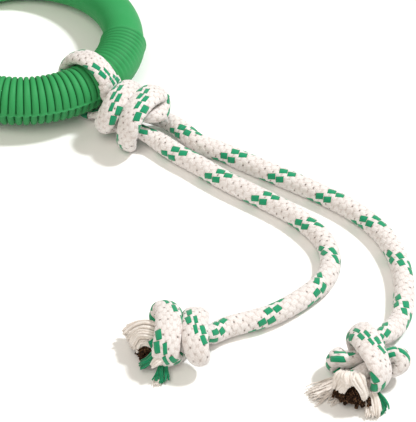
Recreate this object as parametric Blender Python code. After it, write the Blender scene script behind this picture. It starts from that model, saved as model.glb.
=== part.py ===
"""Rope toy: a ribbed rubber ring with a doubled braided rope knotted on to it.

Metres, +Z up. The origin is on the floor under the main knot, and the picture's right is +X.
"""
import math

import bmesh
import bpy
import numpy as np
from mathutils import Matrix, Vector

# General sizes
CLEARANCE = 0.0003  # the least gap that two touching pieces keep
ROPE_DIAMETER = 0.0125
ROPE_RADIUS = ROPE_DIAMETER / 2

MILLIMETRES_PER_METRE = 1000

# Rubber ring
RING_RADIUS = 0.064  # from the ring's centre to the middle of its tube
RIB_CREST_RADIUS = 0.015
SMOOTH_RADIUS = 0.0128
BOLD_GROOVE_DEPTH = 0.0017
FINE_GROOVE_DEPTH = 0.0006
BOLD_RIB_PITCH = 0.0040
FINE_RIB_PITCH = 0.0032
BOLD_BAND_LENGTH = 0.1165
FINE_BAND_LENGTH = 0.0385
SEAT_HALF_LENGTH = 0.0066  # the plain seat under the rope, from its middle to either band
SHOULDER_LENGTH = 0.0022  # where a band drops to the smooth stretch
SMOOTH_STEP_DEG = 7.5
RING_SIDES = 20
RIB_FLAT_SHARE = 0.55  # of a rib's pitch, the rest is its groove

# Where the ring lies: the knot is outside it, and the rope under it lifts that side
RING_STANDOFF = 0.0332  # from the knot's centre to the middle of the ring's tube
KNOT_HEADING_DEG = -39.9  # from the ring's centre through the knot, seen from above

# Rope loop round the ring's tube
LOOP_WIDTH = 0.014
LOOP_TOP_THICKNESS = 0.0078
LOOP_UNDER_THICKNESS = 0.006  # the ring's weight squeezes the rope under it
LOOP_KNOT_THICKNESS = 0.007  # the rope squeezed between the ring and the knot
LOOP_KNOT_GAP = 0.0008  # from the ribs' crests to the rope where it turns off the ring
LOOP_POINTS = 24
LOOP_TOP_DEG = 40.0  # round the tube, from the knot's side over the top
LOOP_UNDER_DEG = 300.0
LOOP_DOWN_DEG = (27.0, 17.0, 8.0)  # round the tube, where the rope turns off it
LOOP_SLANT_TABLE = (  # angle round the tube, place along the tube
    (0.0, -0.0010),
    (40.0, -0.0010),
    (90.0, -0.0015),
    (180.0, -0.0040),
    (270.0, -0.0050),
    (300.0, -0.0060),
)

# Main knot, in its own frame: x away from the ring, y to its left, z up.
# A route is places on the rope's middle line, and its sections are the rope's thickness and width at each place.
TYING_ROUTE = (
    (-0.0112, -0.0010, 0.0212),
    (-0.0060, -0.0010, 0.0220),
    (0.0020, -0.0010, 0.0222),
    (0.0096, 0.0005, 0.0220),
    (0.0150, 0.0052, 0.0210),
    (0.0158, 0.0120, 0.0198),
    (0.0128, 0.0184, 0.0198),
    (0.0092, 0.0206, 0.0236),
    (0.0084, 0.0156, 0.0292),
    (0.0086, 0.0075, 0.0322),
    (0.0088, -0.0010, 0.0326),
    (0.0092, -0.0090, 0.0302),
    (0.0098, -0.0148, 0.0235),
    (0.0096, -0.0162, 0.0145),
    (0.0074, -0.0125, 0.0056),
    (0.0026, -0.0045, 0.0030),
    (-0.0022, 0.0050, 0.0030),
    (-0.0050, 0.0140, 0.0056),
    (-0.0062, 0.0176, 0.0138),
    (-0.0064, 0.0160, 0.0225),
    (-0.0060, 0.0090, 0.0298),
    (-0.0056, 0.0005, 0.0324),
    (-0.0054, -0.0080, 0.0304),
    (-0.0058, -0.0150, 0.0230),
    (-0.0082, -0.0168, 0.0156),
    (-0.0090, -0.0122, 0.0104),
    (-0.0036, -0.0068, 0.0118),
    (0.0025, -0.0052, 0.0138),
    (0.0088, -0.0042, 0.0130),
    (0.0138, -0.0018, 0.0104),
    (0.0180, 0.0018, 0.0076),
    (0.0220, 0.0044, 0.0064),
    (0.0260, 0.0056, 0.00625),
)
TYING_SECTION_SHARES = (
    (0.62, 0.74), (0.72, 0.74), (0.74, 0.74), (0.74, 0.74), (0.74, 0.80),
    (0.74, 0.85), (0.74, 0.92), (0.70, 1.04), (0.69, 1.10), (0.69, 1.12),
    (0.69, 1.12), (0.69, 1.12), (0.69, 1.10), (0.69, 1.04), (0.66, 0.96),
    (0.66, 0.92), (0.66, 0.88), (0.66, 0.90), (0.67, 0.96), (0.67, 1.00),
    (0.67, 1.02), (0.67, 1.02), (0.67, 1.04), (0.67, 1.02), (0.67, 0.90),
    (0.70, 0.76), (0.72, 0.74), (0.72, 0.72), (0.72, 0.72), (0.77, 0.77),
    (0.87, 0.87), (0.98, 0.98), (1.0, 1.0),
)
CORE_ROUTE = (
    (-0.0182, -0.0036, 0.0066),
    (-0.0125, 0.0006, 0.0098),
    (-0.0060, 0.0048, 0.0130),
    (0.0, 0.0078, 0.0136),
    (0.0060, 0.0116, 0.0114),
    (0.0120, 0.0170, 0.0084),
    (0.0170, 0.0208, 0.0066),
    (0.0215, 0.0226, 0.00625),
    (0.0260, 0.0234, 0.00625),
)
CORE_SECTION_SHARES = (
    (0.64, 0.80), (0.70, 0.74), (0.74, 0.74), (0.74, 0.74), (0.74, 0.74),
    (0.80, 0.80), (0.90, 0.90), (1.0, 1.0), (1.0, 1.0),
)
MAIN_KNOT_MIDDLE_HEIGHT = 0.0165
MAIN_KNOT_TURN_DEG = 10.0  # by which the wraps lie askew, counted from square across the rope
MAIN_KNOT_TURN_SHARES = (  # place along the knot, share of the turn there
    (-0.017, 0.0),
    (-0.011, 1.0),
    (0.015, 1.0),
    (0.025, 0.0),
)

# End knots, in their own frame: x square across their wraps and away from the tail, y to its left, z up
END_KNOT_A_ROUTE = (
    (-0.0104, -0.0048, 0.0154),
    (-0.0050, -0.0047, 0.0143),
    (0.0020, -0.0047, 0.0140),
    (0.0076, -0.0054, 0.0144),
    (0.0116, -0.0084, 0.0152),
    (0.0130, -0.0126, 0.0146),
    (0.0114, -0.0158, 0.0114),
    (0.0090, -0.0148, 0.0070),
    (0.0080, -0.0098, 0.0048),
    (0.0078, -0.0034, 0.0044),
    (0.0080, 0.0032, 0.0046),
    (0.0086, 0.0100, 0.0068),
    (0.0092, 0.0144, 0.0126),
    (0.0086, 0.0140, 0.0194),
    (0.0060, 0.0080, 0.0242),
    (0.0014, -0.0004, 0.0250),
    (-0.0034, -0.0088, 0.0240),
    (-0.0066, -0.0142, 0.0194),
    (-0.0078, -0.0146, 0.0126),
    (-0.0072, -0.0096, 0.0068),
    (-0.0067, -0.0022, 0.0047),
    (-0.0066, 0.0066, 0.0054),
    (-0.0074, 0.0134, 0.0088),
    (-0.0094, 0.0166, 0.0138),
    (-0.0102, 0.0144, 0.0184),
    (-0.0080, 0.0094, 0.0182),
    (-0.0028, 0.0062, 0.0155),
    (0.0030, 0.0049, 0.0142),
    (0.0084, 0.0043, 0.0146),
)
END_KNOT_A_SECTION_SHARES = (
    (0.74, 0.74), (0.68, 0.68), (0.66, 0.66), (0.67, 0.68), (0.70, 0.78),
    (0.72, 0.90), (0.70, 1.00), (0.68, 1.06), (0.68, 1.08), (0.68, 1.08),
    (0.68, 1.08), (0.68, 1.08), (0.68, 1.10), (0.68, 1.12), (0.68, 1.16),
    (0.68, 1.18), (0.68, 1.16), (0.68, 1.12), (0.68, 1.08), (0.67, 1.08),
    (0.67, 1.08), (0.67, 1.06), (0.67, 1.00), (0.67, 0.90), (0.68, 0.80),
    (0.68, 0.72), (0.66, 0.67), (0.66, 0.66), (0.68, 0.70),
)
END_KNOT_B_ROUTE = (
    (-0.0110, -0.0044, 0.0126),
    (-0.0050, -0.0047, 0.0138),
    (0.0020, -0.0047, 0.0140),
    (0.0076, -0.0054, 0.0136),
    (0.0116, -0.0084, 0.0131),
    (0.0130, -0.0126, 0.0137),
    (0.0114, -0.0158, 0.0169),
    (0.0090, -0.0148, 0.0213),
    (0.0080, -0.0098, 0.0235),
    (0.0078, -0.0034, 0.0239),
    (0.0080, 0.0032, 0.0237),
    (0.0086, 0.0100, 0.0215),
    (0.0092, 0.0142, 0.0159),
    (0.0086, 0.0138, 0.0095),
    (0.0060, 0.0078, 0.0051),
    (0.0014, -0.0004, 0.0043),
    (-0.0034, -0.0086, 0.0051),
    (-0.0066, -0.0140, 0.0095),
    (-0.0078, -0.0144, 0.0159),
    (-0.0072, -0.0096, 0.0215),
    (-0.0067, -0.0022, 0.0236),
    (-0.0066, 0.0066, 0.0229),
    (-0.0074, 0.0132, 0.0195),
    (-0.0094, 0.0162, 0.0145),
    (-0.0102, 0.0138, 0.0099),
    (-0.0080, 0.0090, 0.0099),
    (-0.0028, 0.0060, 0.0123),
    (0.0030, 0.0048, 0.0138),
    (0.0084, 0.0042, 0.0137),
)
END_KNOT_B_SECTION_SHARES = (
    (0.74, 0.74), (0.68, 0.68), (0.66, 0.66), (0.67, 0.68), (0.70, 0.78),
    (0.72, 0.90), (0.70, 1.00), (0.68, 1.06), (0.68, 1.08), (0.68, 1.08),
    (0.68, 1.08), (0.68, 1.08), (0.68, 1.10), (0.68, 1.12), (0.68, 1.16),
    (0.68, 1.18), (0.68, 1.16), (0.68, 1.12), (0.68, 1.08), (0.67, 1.08),
    (0.67, 1.08), (0.67, 1.06), (0.67, 1.00), (0.67, 0.90), (0.68, 0.80),
    (0.68, 0.72), (0.66, 0.67), (0.66, 0.66), (0.68, 0.70),
)
END_KNOT_A_WAY_IN = (
    (-0.0340, -0.0054, 0.0082),
    (-0.0290, -0.0047, 0.0101),
    (-0.0242, -0.0042, 0.0120),
    (-0.0192, -0.0040, 0.0138),
)
END_KNOT_B_WAY_IN = (
    (-0.0266, -0.0150, 0.00625),
    (-0.0222, -0.0124, 0.00625),
    (-0.0186, -0.0086, 0.0070),
    (-0.0150, -0.0060, 0.0094),
)
WAY_IN_SECTION_SHARES = ((1.0, 1.0), (1.0, 1.0), (0.95, 0.95), (0.84, 0.84))
END_KNOT_A_WAY_OUT = (
    (0.0130, 0.0036, 0.0146),
    (0.0160, 0.0030, 0.0138),
    (0.0186, 0.0026, 0.0128),
)
END_KNOT_B_WAY_OUT = (
    (0.0130, 0.0044, 0.0126),
    (0.0154, 0.0050, 0.0116),
    (0.0178, 0.0058, 0.0106),
)
WAY_OUT_SECTION_SHARES = ((0.76, 0.80), (0.84, 0.90), (0.88, 0.96))
END_KNOT_A_MIDDLE_HEIGHT = 0.0144
END_KNOT_B_MIDDLE_HEIGHT = 0.0134
END_KNOT_A_PLACE = (0.1533, -0.1767)
END_KNOT_A_HEADING_DEG = -125.0
END_KNOT_B_PLACE = (0.0478, -0.1751)
END_KNOT_B_HEADING_DEG = -175.0

# Tails, on the floor: places on the rope's middle line between its two knots
TAIL_A_ROUTE = (
    (0.0601, -0.0131),
    (0.0737, -0.0195),
    (0.0874, -0.0255),
    (0.1010, -0.0313),
    (0.1150, -0.0376),
    (0.1285, -0.0443),
    (0.1411, -0.0517),
    (0.1530, -0.0613),
    (0.1625, -0.0730),
    (0.1688, -0.0860),
    (0.1727, -0.1010),
    (0.1738, -0.1158),
    (0.1730, -0.1320),
    (0.1708, -0.1404),
)
TAIL_B_ROUTE = (
    (0.0425, -0.0248),
    (0.0548, -0.0329),
    (0.0675, -0.0406),
    (0.0810, -0.0476),
    (0.0943, -0.0544),
    (0.1072, -0.0623),
    (0.1186, -0.0723),
    (0.1272, -0.0839),
    (0.1302, -0.0985),
    (0.1275, -0.1126),
    (0.1189, -0.1247),
    (0.1085, -0.1357),
    (0.0969, -0.1454),
)
TAIL_STEP = 0.0125
SWIVEL_POINTS = 4  # rows of points on a tail's rounded start

# Frayed ends, in their own frames: x the way that the end points, y to its left, z up
SHEATH_WALL = 0.0018
SHEATH_NECK_WIDTH = 0.0115
SHEATH_OPENING_SHARE = 0.30  # of the way round, where the flaps stand apart
CORE_NECK_SHARE = 0.55  # of the sheath's bore at its neck
CORE_HEIGHT_SHARE = 0.62  # of the sheath's bore at its rim
CORE_WIDTH_SHARE = 0.74
TRACER_DIAMETER = 0.0022
TRACER_START = 0.0030  # from the neck to where the green yarns stand free
FRAY_A_LENGTH = 0.018
FRAY_A_RIM_WIDTH = 0.023
FRAY_A_RIM_HEIGHT = 0.014
FRAY_A_CORE_LENGTH = 0.023
FRAY_A_OPENING_DEG = 75.0  # round the rope's middle line, from its left side over the top
FRAY_A_SWEEP = 0.005  # how far the rim lies to the left
FRAY_A_HEADING_DEG = -119.0
FRAY_A_TRACER_SIDE = 1.0
FRAY_A_TRACER_GAP = 0.0007  # beside the opened sheath
FRAY_A_TRACER_LENGTH = 0.020
FRAY_B_LENGTH = 0.017
FRAY_B_RIM_WIDTH = 0.018
FRAY_B_RIM_HEIGHT = 0.013
FRAY_B_CORE_LENGTH = 0.014
FRAY_B_OPENING_DEG = 120.0
FRAY_B_SWEEP = 0.0
FRAY_B_HEADING_DEG = -155.0
FRAY_B_TRACER_SIDE = 1.0
FRAY_B_TRACER_GAP = 0.0001
FRAY_B_TRACER_LENGTH = 0.015
FRAY_STEPS = 6
FLAP_POINTS = 10

# Sections and stations of the knots' strands
STRAND_STEP = 0.0032
STRAND_SIDES = 12
CURVE_POINTS_PER_SPAN = 12
EASING_PASSES = 3

# Colours, linear
RUBBER_GREEN = (0.028, 0.300, 0.085, 1.0)
ROPE_CREAM = (0.800, 0.740, 0.690, 1.0)
TRACER_GREEN = (0.020, 0.340, 0.140, 1.0)
CORE_BROWN = (0.045, 0.028, 0.020, 1.0)


def clear_scene():
    """Remove every object that a new scene starts with."""
    for obj in list(bpy.data.objects):
        bpy.data.objects.remove(obj, do_unlink=True)


def make_material(name, colour, roughness):
    """A plain material with the photographed colour."""
    material = bpy.data.materials.new(name)
    material.use_nodes = True
    shader = material.node_tree.nodes["Principled BSDF"]
    shader.inputs["Base Color"].default_value = colour
    shader.inputs["Roughness"].default_value = roughness
    shader.inputs["Metallic"].default_value = 0.0
    material.diffuse_color = colour
    return material


def add_mesh_object(name, bm, material, parent=None):
    """Make an object of the bmesh, smooth, and free the bmesh."""
    bmesh.ops.recalc_face_normals(bm, faces=bm.faces)
    for face in bm.faces:
        face.smooth = True
    mesh = bpy.data.meshes.new(name)
    bm.to_mesh(mesh)
    bm.free()
    mesh.materials.append(material)
    obj = bpy.data.objects.new(name, mesh)
    bpy.context.collection.objects.link(obj)
    obj.parent = parent
    return obj


def bridge_rows(bm, rows, closed):
    """Join rows of vertices into a tube, closed on itself or capped at both ends."""
    sides = len(rows[0])
    spans = len(rows) if closed else len(rows) - 1
    for index in range(spans):
        here = rows[index]
        after = rows[(index + 1) % len(rows)]
        for side in range(sides):
            beside = (side + 1) % sides
            bm.faces.new((here[side], here[beside], after[beside], after[side]))
    if not closed:
        bm.faces.new(rows[0])
        bm.faces.new(rows[-1])


# Smooth curves


def smooth_route(route, step):
    """Even stations on a centripetal curve through the route's rows, with any further columns eased alike."""
    rows = np.array(route, dtype=float)
    places = rows[:, :3]
    spans = np.sqrt(np.linalg.norm(np.diff(places, axis=0), axis=1))
    knots = np.concatenate(([-spans[0], 0.0], np.cumsum(spans), [spans.sum() + spans[-1]]))
    before = 2 * rows[0] - rows[1]
    beyond = 2 * rows[-1] - rows[-2]
    rows = np.vstack((before, rows, beyond))
    fine = []
    for index in range(1, len(rows) - 2):
        t0, t1, t2, t3 = knots[index - 1:index + 3]
        p0, p1, p2, p3 = rows[index - 1:index + 3]
        for t in np.linspace(t1, t2, CURVE_POINTS_PER_SPAN, endpoint=False):
            a1 = (t1 - t) / (t1 - t0) * p0 + (t - t0) / (t1 - t0) * p1
            a2 = (t2 - t) / (t2 - t1) * p1 + (t - t1) / (t2 - t1) * p2
            a3 = (t3 - t) / (t3 - t2) * p2 + (t - t2) / (t3 - t2) * p3
            b1 = (t2 - t) / (t2 - t0) * a1 + (t - t0) / (t2 - t0) * a2
            b2 = (t3 - t) / (t3 - t1) * a2 + (t - t1) / (t3 - t1) * a3
            fine.append((t2 - t) / (t2 - t1) * b1 + (t - t1) / (t2 - t1) * b2)
    fine.append(rows[-2])
    fine = np.array(fine)
    lengths = np.concatenate(([0.0], np.cumsum(np.linalg.norm(np.diff(fine[:, :3], axis=0), axis=1))))
    count = max(2, round(lengths[-1] / step))
    even = np.linspace(0.0, lengths[-1], count + 1)
    return np.stack([np.interp(even, lengths, fine[:, column]) for column in range(fine.shape[1])], axis=1)


def ease(stations):
    """Average each station with its neighbours, which opens the tightest bends."""
    for _ in range(EASING_PASSES):
        stations[1:-1] = (stations[:-2] + 2 * stations[1:-1] + stations[2:]) / 4
    return stations


def route_length(stations):
    """Length of a run of stations."""
    return float(np.linalg.norm(np.diff(stations[:, :3], axis=0), axis=1).sum())


def directions(places):
    """Unit direction at each station."""
    slope = np.gradient(places, axis=0)
    return slope / np.linalg.norm(slope, axis=1)[:, None]


def level(way):
    """The same way with its rise taken out."""
    flat = np.array((way[0], way[1], 0.0))
    return flat / np.linalg.norm(flat)


def strand_rows(stations, along, outward, sides):
    """Points round each station: an oval, thin along the outward direction and wide across it.

    The rows don't turn with the oval, so that no face is twisted.
    """
    places = stations[:, :3]
    angles = np.arange(sides) * 2 * math.pi / sides
    across = np.array((0.0, 0.0, 1.0))
    if abs(along[0][2]) > math.cos(math.radians(30)):
        across = np.array((0.0, 1.0, 0.0))
    rows = []
    for place, heading, out, thin, wide in zip(places, along, outward, stations[:, 3], stations[:, 4]):
        across = across - heading * (across @ heading)
        across = across / np.linalg.norm(across)
        aside = np.cross(heading, across)
        out = out - heading * (out @ heading)
        out = out / max(np.linalg.norm(out), CLEARANCE)
        width = np.cross(heading, out)
        spokes = np.cos(angles)[:, None] * across + np.sin(angles)[:, None] * aside
        reach = 1 / np.sqrt((spokes @ out / thin) ** 2 + (spokes @ width / wide) ** 2)
        rows.append(place + spokes * reach[:, None])
    return np.array(rows)


def least_gap(first, second, skip):
    """Least distance between the points of two strands, or of one strand with the skipped neighbours left out."""
    least = math.inf
    for index, row in enumerate(first):
        for other, far_row in enumerate(second):
            if skip and other < index + skip:
                continue
            between = np.linalg.norm(row[:, None] - far_row[None], axis=2)
            least = min(least, float(between.min()))
    return least


def add_strand(name, rows, material, parent):
    """One closed body through the rows of points."""
    bm = bmesh.new()
    vertices = [[bm.verts.new(point) for point in row] for row in rows]
    bridge_rows(bm, vertices, closed=False)
    return add_mesh_object(name, bm, material, parent)


def to_world(points, place, heading_deg):
    """Turn points of a knot's own frame into the part's frame."""
    heading = math.radians(heading_deg)
    turned = np.array(points, dtype=float)
    x = turned[..., 0].copy()
    y = turned[..., 1].copy()
    turned[..., 0] = place[0] + x * math.cos(heading) - y * math.sin(heading)
    turned[..., 1] = place[1] + x * math.sin(heading) + y * math.cos(heading)
    return turned


# Rubber ring


def ring_loop_height():
    """Height of the middle of the ring's tube where it lies on the rope."""
    return LOOP_UNDER_THICKNESS + CLEARANCE + RIB_CREST_RADIUS


def ring_tilt():
    """Angle by which the rope under the ring tips it up from lying on its smooth far side."""
    return math.asin((ring_loop_height() - SMOOTH_RADIUS) / (2 * RING_RADIUS))


def ring_matrix():
    """Place of the ring: its own +X points at the rope."""
    heading = math.radians(KNOT_HEADING_DEG)
    reach = RING_STANDOFF + RING_RADIUS * math.cos(ring_tilt())
    height = (ring_loop_height() + SMOOTH_RADIUS) / 2
    place = Vector((-reach * math.cos(heading), -reach * math.sin(heading), height))
    turn = Matrix.Rotation(heading, 4, "Z") @ Matrix.Rotation(-ring_tilt(), 4, "Y")
    return Matrix.Translation(place) @ turn


def ribbed_band(start, length, pitch, depth, sign):
    """Stations of a band of ribs: each rib's flat crest, then its groove."""
    count = max(1, round(length / pitch))
    true_pitch = length / count
    stations = []
    for rib in range(count):
        crest_start = start + rib * true_pitch
        crest_end = crest_start + true_pitch * RIB_FLAT_SHARE
        groove = (crest_end + crest_start + true_pitch) / 2
        stations.append((sign * crest_start, RIB_CREST_RADIUS))
        stations.append((sign * crest_end, RIB_CREST_RADIUS))
        if rib < count - 1:
            stations.append((sign * groove, RIB_CREST_RADIUS - depth))
    return stations


def ring_stations():
    """Angle and tube radius of every station round the ring, from the rope's seat."""
    bold = ribbed_band(SEAT_HALF_LENGTH, BOLD_BAND_LENGTH, BOLD_RIB_PITCH, BOLD_GROOVE_DEPTH, -1)
    fine = ribbed_band(SEAT_HALF_LENGTH, FINE_BAND_LENGTH, FINE_RIB_PITCH, FINE_GROOVE_DEPTH, 1)
    stations = [(place / RING_RADIUS, radius) for place, radius in bold[::-1] + fine]
    first = stations[0][0] - SHOULDER_LENGTH / RING_RADIUS + 2 * math.pi
    last = stations[-1][0] + SHOULDER_LENGTH / RING_RADIUS
    steps = max(2, round((first - last) / math.radians(SMOOTH_STEP_DEG)))
    for step in range(steps + 1):
        stations.append((last + (first - last) * step / steps, SMOOTH_RADIUS))
    return stations


def build_ring(material, empty):
    """The ribbed rubber ring, one closed moulding."""
    bm = bmesh.new()
    rows = []
    for turn, radius in ring_stations():
        row = []
        for side in range(RING_SIDES):
            angle = 2 * math.pi * side / RING_SIDES
            reach = RING_RADIUS + radius * math.cos(angle)
            row.append(bm.verts.new((reach * math.cos(turn), reach * math.sin(turn), radius * math.sin(angle))))
        rows.append(row)
    bridge_rows(bm, rows, closed=True)
    return add_mesh_object("rubber_ring", bm, material, empty)


# Rope loop and main knot


def loop_slant(angle_deg):
    """Place of the loop along the ring's tube at an angle round it."""
    angles = [row[0] for row in LOOP_SLANT_TABLE]
    places = [row[1] for row in LOOP_SLANT_TABLE]
    return float(np.interp(angle_deg, angles, places))


def loop_point(angle_deg, thickness, gap):
    """Station of the rope where it lies a gap off the ring's tube, in the knot's frame."""
    angle = math.radians(angle_deg)
    reach = RIB_CREST_RADIUS + gap + thickness / 2
    x = -RING_STANDOFF + reach * math.cos(angle)
    z = ring_loop_height() + reach * math.sin(angle)
    return (x, loop_slant(angle_deg), z, thickness / 2, LOOP_WIDTH / 2)


def loop_thickness(angle_deg):
    """Thickness of the loop: squeezed where the ring lies on it."""
    squeeze = max(0.0, -math.sin(math.radians(angle_deg)))
    return LOOP_TOP_THICKNESS + (LOOP_UNDER_THICKNESS - LOOP_TOP_THICKNESS) * squeeze


def sized(route, section_shares):
    """Put beside each place of a route the rope's half thickness and half width there."""
    return np.hstack((np.array(route), np.array(section_shares) * ROPE_RADIUS))


def turn_wraps(stations):
    """Lay the main knot's wraps askew, and less so towards the ways in and out."""
    turned = stations.copy()
    for station in turned:
        x, y = station[:2]
        share = np.interp(x, [row[0] for row in MAIN_KNOT_TURN_SHARES], [row[1] for row in MAIN_KNOT_TURN_SHARES])
        angle = math.radians(MAIN_KNOT_TURN_DEG) * share
        station[0] = x * math.cos(angle) - y * math.sin(angle)
        station[1] = x * math.sin(angle) + y * math.cos(angle)
    return turned


def main_run():
    """Stations of the rope from tail to tail: core strand, loop and tying strand. Returns the loop's two ends too."""
    core = turn_wraps(sized(CORE_ROUTE, CORE_SECTION_SHARES))[::-1]
    tying = turn_wraps(sized(TYING_ROUTE, TYING_SECTION_SHARES))
    under = []
    for index in range(LOOP_POINTS):
        angle_deg = LOOP_UNDER_DEG + (LOOP_TOP_DEG - LOOP_UNDER_DEG) * index / (LOOP_POINTS - 1)
        under.append(loop_point(angle_deg, loop_thickness(angle_deg), CLEARANCE))
    down = [loop_point(angle_deg, LOOP_KNOT_THICKNESS, LOOP_KNOT_GAP) for angle_deg in LOOP_DOWN_DEG]
    run = smooth_route(np.vstack((core, under, down, tying)), STRAND_STEP)
    under_end = nearest(run, under[0])
    top_end = nearest(run, under[-1])
    off_ring = nearest(run, down[-1])
    on_ring = run[under_end:off_ring + 1].copy()
    run = ease(run)
    run[under_end:off_ring + 1] = on_ring
    return run, under_end, top_end


def nearest(run, place):
    """Index of the station that lies nearest to a place."""
    return int(np.linalg.norm(run[:, :3] - np.array(place)[:3], axis=1).argmin())


def cut_rows(rows, headings, start, end):
    """Rows of one stretch of a run, drawn back at each cut by its share of the gap to the next stretch."""
    stretch = rows[start:end + 1].copy()
    if start > 0:
        stretch[0] = stretch[0] + headings[start] * CLEARANCE / 2
    if end < len(rows) - 1:
        stretch[-1] = stretch[-1] - headings[end] * CLEARANCE / 2
    return stretch


def outward_from(stations, middle_height):
    """Directions away from a knot's middle line."""
    outward = stations[:, :3].copy()
    outward[:, 0] = 0.0
    outward[:, 2] -= middle_height
    return outward


def rest_on_floor(rows):
    """Flatten what lies below the floor, as the rope is where it bears on it."""
    rows = rows.copy()
    rows[..., 2] = np.maximum(rows[..., 2], 0.0)
    return rows


def gap_text(gap):
    """A gap as text, in millimetres."""
    return f"{gap * MILLIMETRES_PER_METRE:.2f} mm"


def build_main_knot(material):
    """The loop and both strands of the main knot. Returns the run's ends, with the core strand's end first."""
    run, under_end, top_end = main_run()
    outward = outward_from(run, MAIN_KNOT_MIDDLE_HEIGHT)
    tube_middle = np.array((-RING_STANDOFF, 0.0, ring_loop_height()))
    outward[under_end:top_end + 1] = run[under_end:top_end + 1, :3] - tube_middle
    outward[under_end:top_end + 1, 1] = 0.0
    headings = directions(run[:, :3])
    headings[0] = level(headings[0])
    headings[-1] = level(headings[-1])
    rows = strand_rows(run, headings, outward, STRAND_SIDES)
    core_rows = cut_rows(rows, headings, 0, under_end)
    loop_rows = cut_rows(rows, headings, under_end, top_end)
    tying_rows = cut_rows(rows, headings, top_end, len(run) - 1)
    neighbours = math.ceil(math.pi * ROPE_RADIUS / STRAND_STEP)
    print("main knot, tying strand's least gap to itself:", gap_text(least_gap(tying_rows, tying_rows, neighbours)))
    print("main knot, least gap between its strands:", gap_text(least_gap(tying_rows, core_rows, 0)))
    for name, piece_rows in (("knot_core_strand", core_rows), ("rope_loop", loop_rows),
                             ("knot_tying_strand", tying_rows)):
        world = to_world(rest_on_floor(piece_rows), (0.0, 0.0), KNOT_HEADING_DEG)
        add_strand(name, world, material, None)
    ends = to_world(np.array((run[0, :3], run[-1, :3])), (0.0, 0.0), KNOT_HEADING_DEG)
    ways = to_world(np.array((-headings[0], headings[-1])), (0.0, 0.0), KNOT_HEADING_DEG)
    return ends, ways


# Tails and end knots


def rounded_start(middle, way):
    """Rows of the ball end on which a tail swings, from near its tip to its middle."""
    rows = []
    for index in range(1, SWIVEL_POINTS + 1):
        angle = math.pi / 2 * index / (SWIVEL_POINTS + 1)
        place = middle - way * ROPE_RADIUS * math.cos(angle)
        spread = ROPE_RADIUS * math.sin(angle)
        rows.append((place, spread))
    return rows


def end_knot_stations(route, knot_shares, place, heading_deg):
    """Rows of an end knot from its tail to its frayed end, in the part's frame."""
    stations = sized(route, WAY_IN_SECTION_SHARES + knot_shares + WAY_OUT_SECTION_SHARES)
    stations[:, :3] = to_world(stations[:, :3], place, heading_deg)
    return stations


def build_tail(letter, material, exit_place, exit_way, route, knot_part, knot_frame, middle_height,
               fray_heading_deg):
    """A tail with the knot at its end. Returns the place where the rope frays."""
    knot_place, knot_heading_deg = knot_frame
    middle = exit_place + exit_way * (CLEARANCE + ROPE_RADIUS)
    floor_part = [(x, y, ROPE_RADIUS, ROPE_RADIUS, ROPE_RADIUS) for x, y in route]
    start = (*middle, ROPE_RADIUS, ROPE_RADIUS)
    straight = (*(middle + exit_way * ROPE_RADIUS), ROPE_RADIUS, ROPE_RADIUS)
    run = ease(smooth_route(np.vstack((start, straight, floor_part, knot_part)), STRAND_STEP))
    split = nearest(run, knot_part[0])
    stride = round(TAIL_STEP / STRAND_STEP)
    kept = list(range(0, split - stride // 2, stride)) + list(range(split, len(run)))
    run = run[kept]
    split = nearest(run, knot_part[0])
    local = to_world(run[:, :3] - np.array((*knot_place, 0.0)), (0.0, 0.0), -knot_heading_deg)
    outward = outward_from(local, middle_height)
    outward[:split + 1] = (0.0, 0.0, 1.0)
    outward = to_world(outward, (0.0, 0.0), knot_heading_deg)
    headings = directions(run[:, :3])
    headings[0] = exit_way
    headings[-1] = to_world(np.array((1.0, 0.0, 0.0)), (0.0, 0.0), fray_heading_deg)
    rows = strand_rows(run, headings, outward, STRAND_SIDES)
    tail_rows = list(cut_rows(rows, headings, 0, split))
    ball = []
    for place, spread in rounded_start(middle, exit_way):
        ball.append(place + (rows[0] - run[0, :3]) * spread / ROPE_RADIUS)
    knot_rows = cut_rows(rows, headings, split, len(run) - 1)
    neighbours = math.ceil(math.pi * ROPE_RADIUS / STRAND_STEP)
    print(f"end knot {letter}, least gap to itself:", gap_text(least_gap(knot_rows, knot_rows, neighbours)))
    print(f"tail {letter}, length between its knots:", gap_text(route_length(run[:split + 1])))
    add_strand(f"tail_{letter}", rest_on_floor(np.array(ball + tail_rows)), material, None)
    add_strand(f"end_knot_{letter}", rest_on_floor(knot_rows), material, None)
    print(f"tail {letter}, axis at:", [round(float(value), 5) for value in middle])
    return run[-1, :3]


# Frayed ends


def fray_rows(length, neck, rim_width, rim_height, sweep, start):
    """Middle, half width and half height of the frayed end at each step from its neck to its rim."""
    rows = []
    for step in range(FRAY_STEPS + 1):
        share = step / FRAY_STEPS
        opened = math.sin(share * math.pi / 2)
        half_width = (neck + (rim_width - neck) * opened) / 2
        half_height = (neck + (rim_height - neck) * opened) / 2
        middle = start + np.array((length * share, sweep * share * share, 0.0))
        middle[2] = start[2] + (rim_height / 2 - start[2]) * opened
        rows.append((middle, half_width, half_height))
    return rows


def flap_section(middle, half_width, half_height, opening_deg):
    """Outline of the opened sheath at one step: out along its outside, back along its inside."""
    gap = SHEATH_OPENING_SHARE * math.pi
    first = math.radians(opening_deg) + gap
    last = math.radians(opening_deg) + 2 * math.pi - gap
    angles = np.linspace(first, last, FLAP_POINTS)
    outside = [(0.0, half_width * math.cos(angle), half_height * math.sin(angle)) for angle in angles]
    inner_width = half_width - SHEATH_WALL
    inner_height = half_height - SHEATH_WALL
    inside = [(0.0, inner_width * math.cos(angle), inner_height * math.sin(angle)) for angle in angles[::-1]]
    return middle + np.array(outside + inside)


def round_section(middle, half_width, half_height, sides):
    """Oval outline across a frayed end."""
    angles = np.arange(sides) * 2 * math.pi / sides
    return middle + np.array([(0.0, half_width * math.cos(angle), half_height * math.sin(angle)) for angle in angles])


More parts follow.
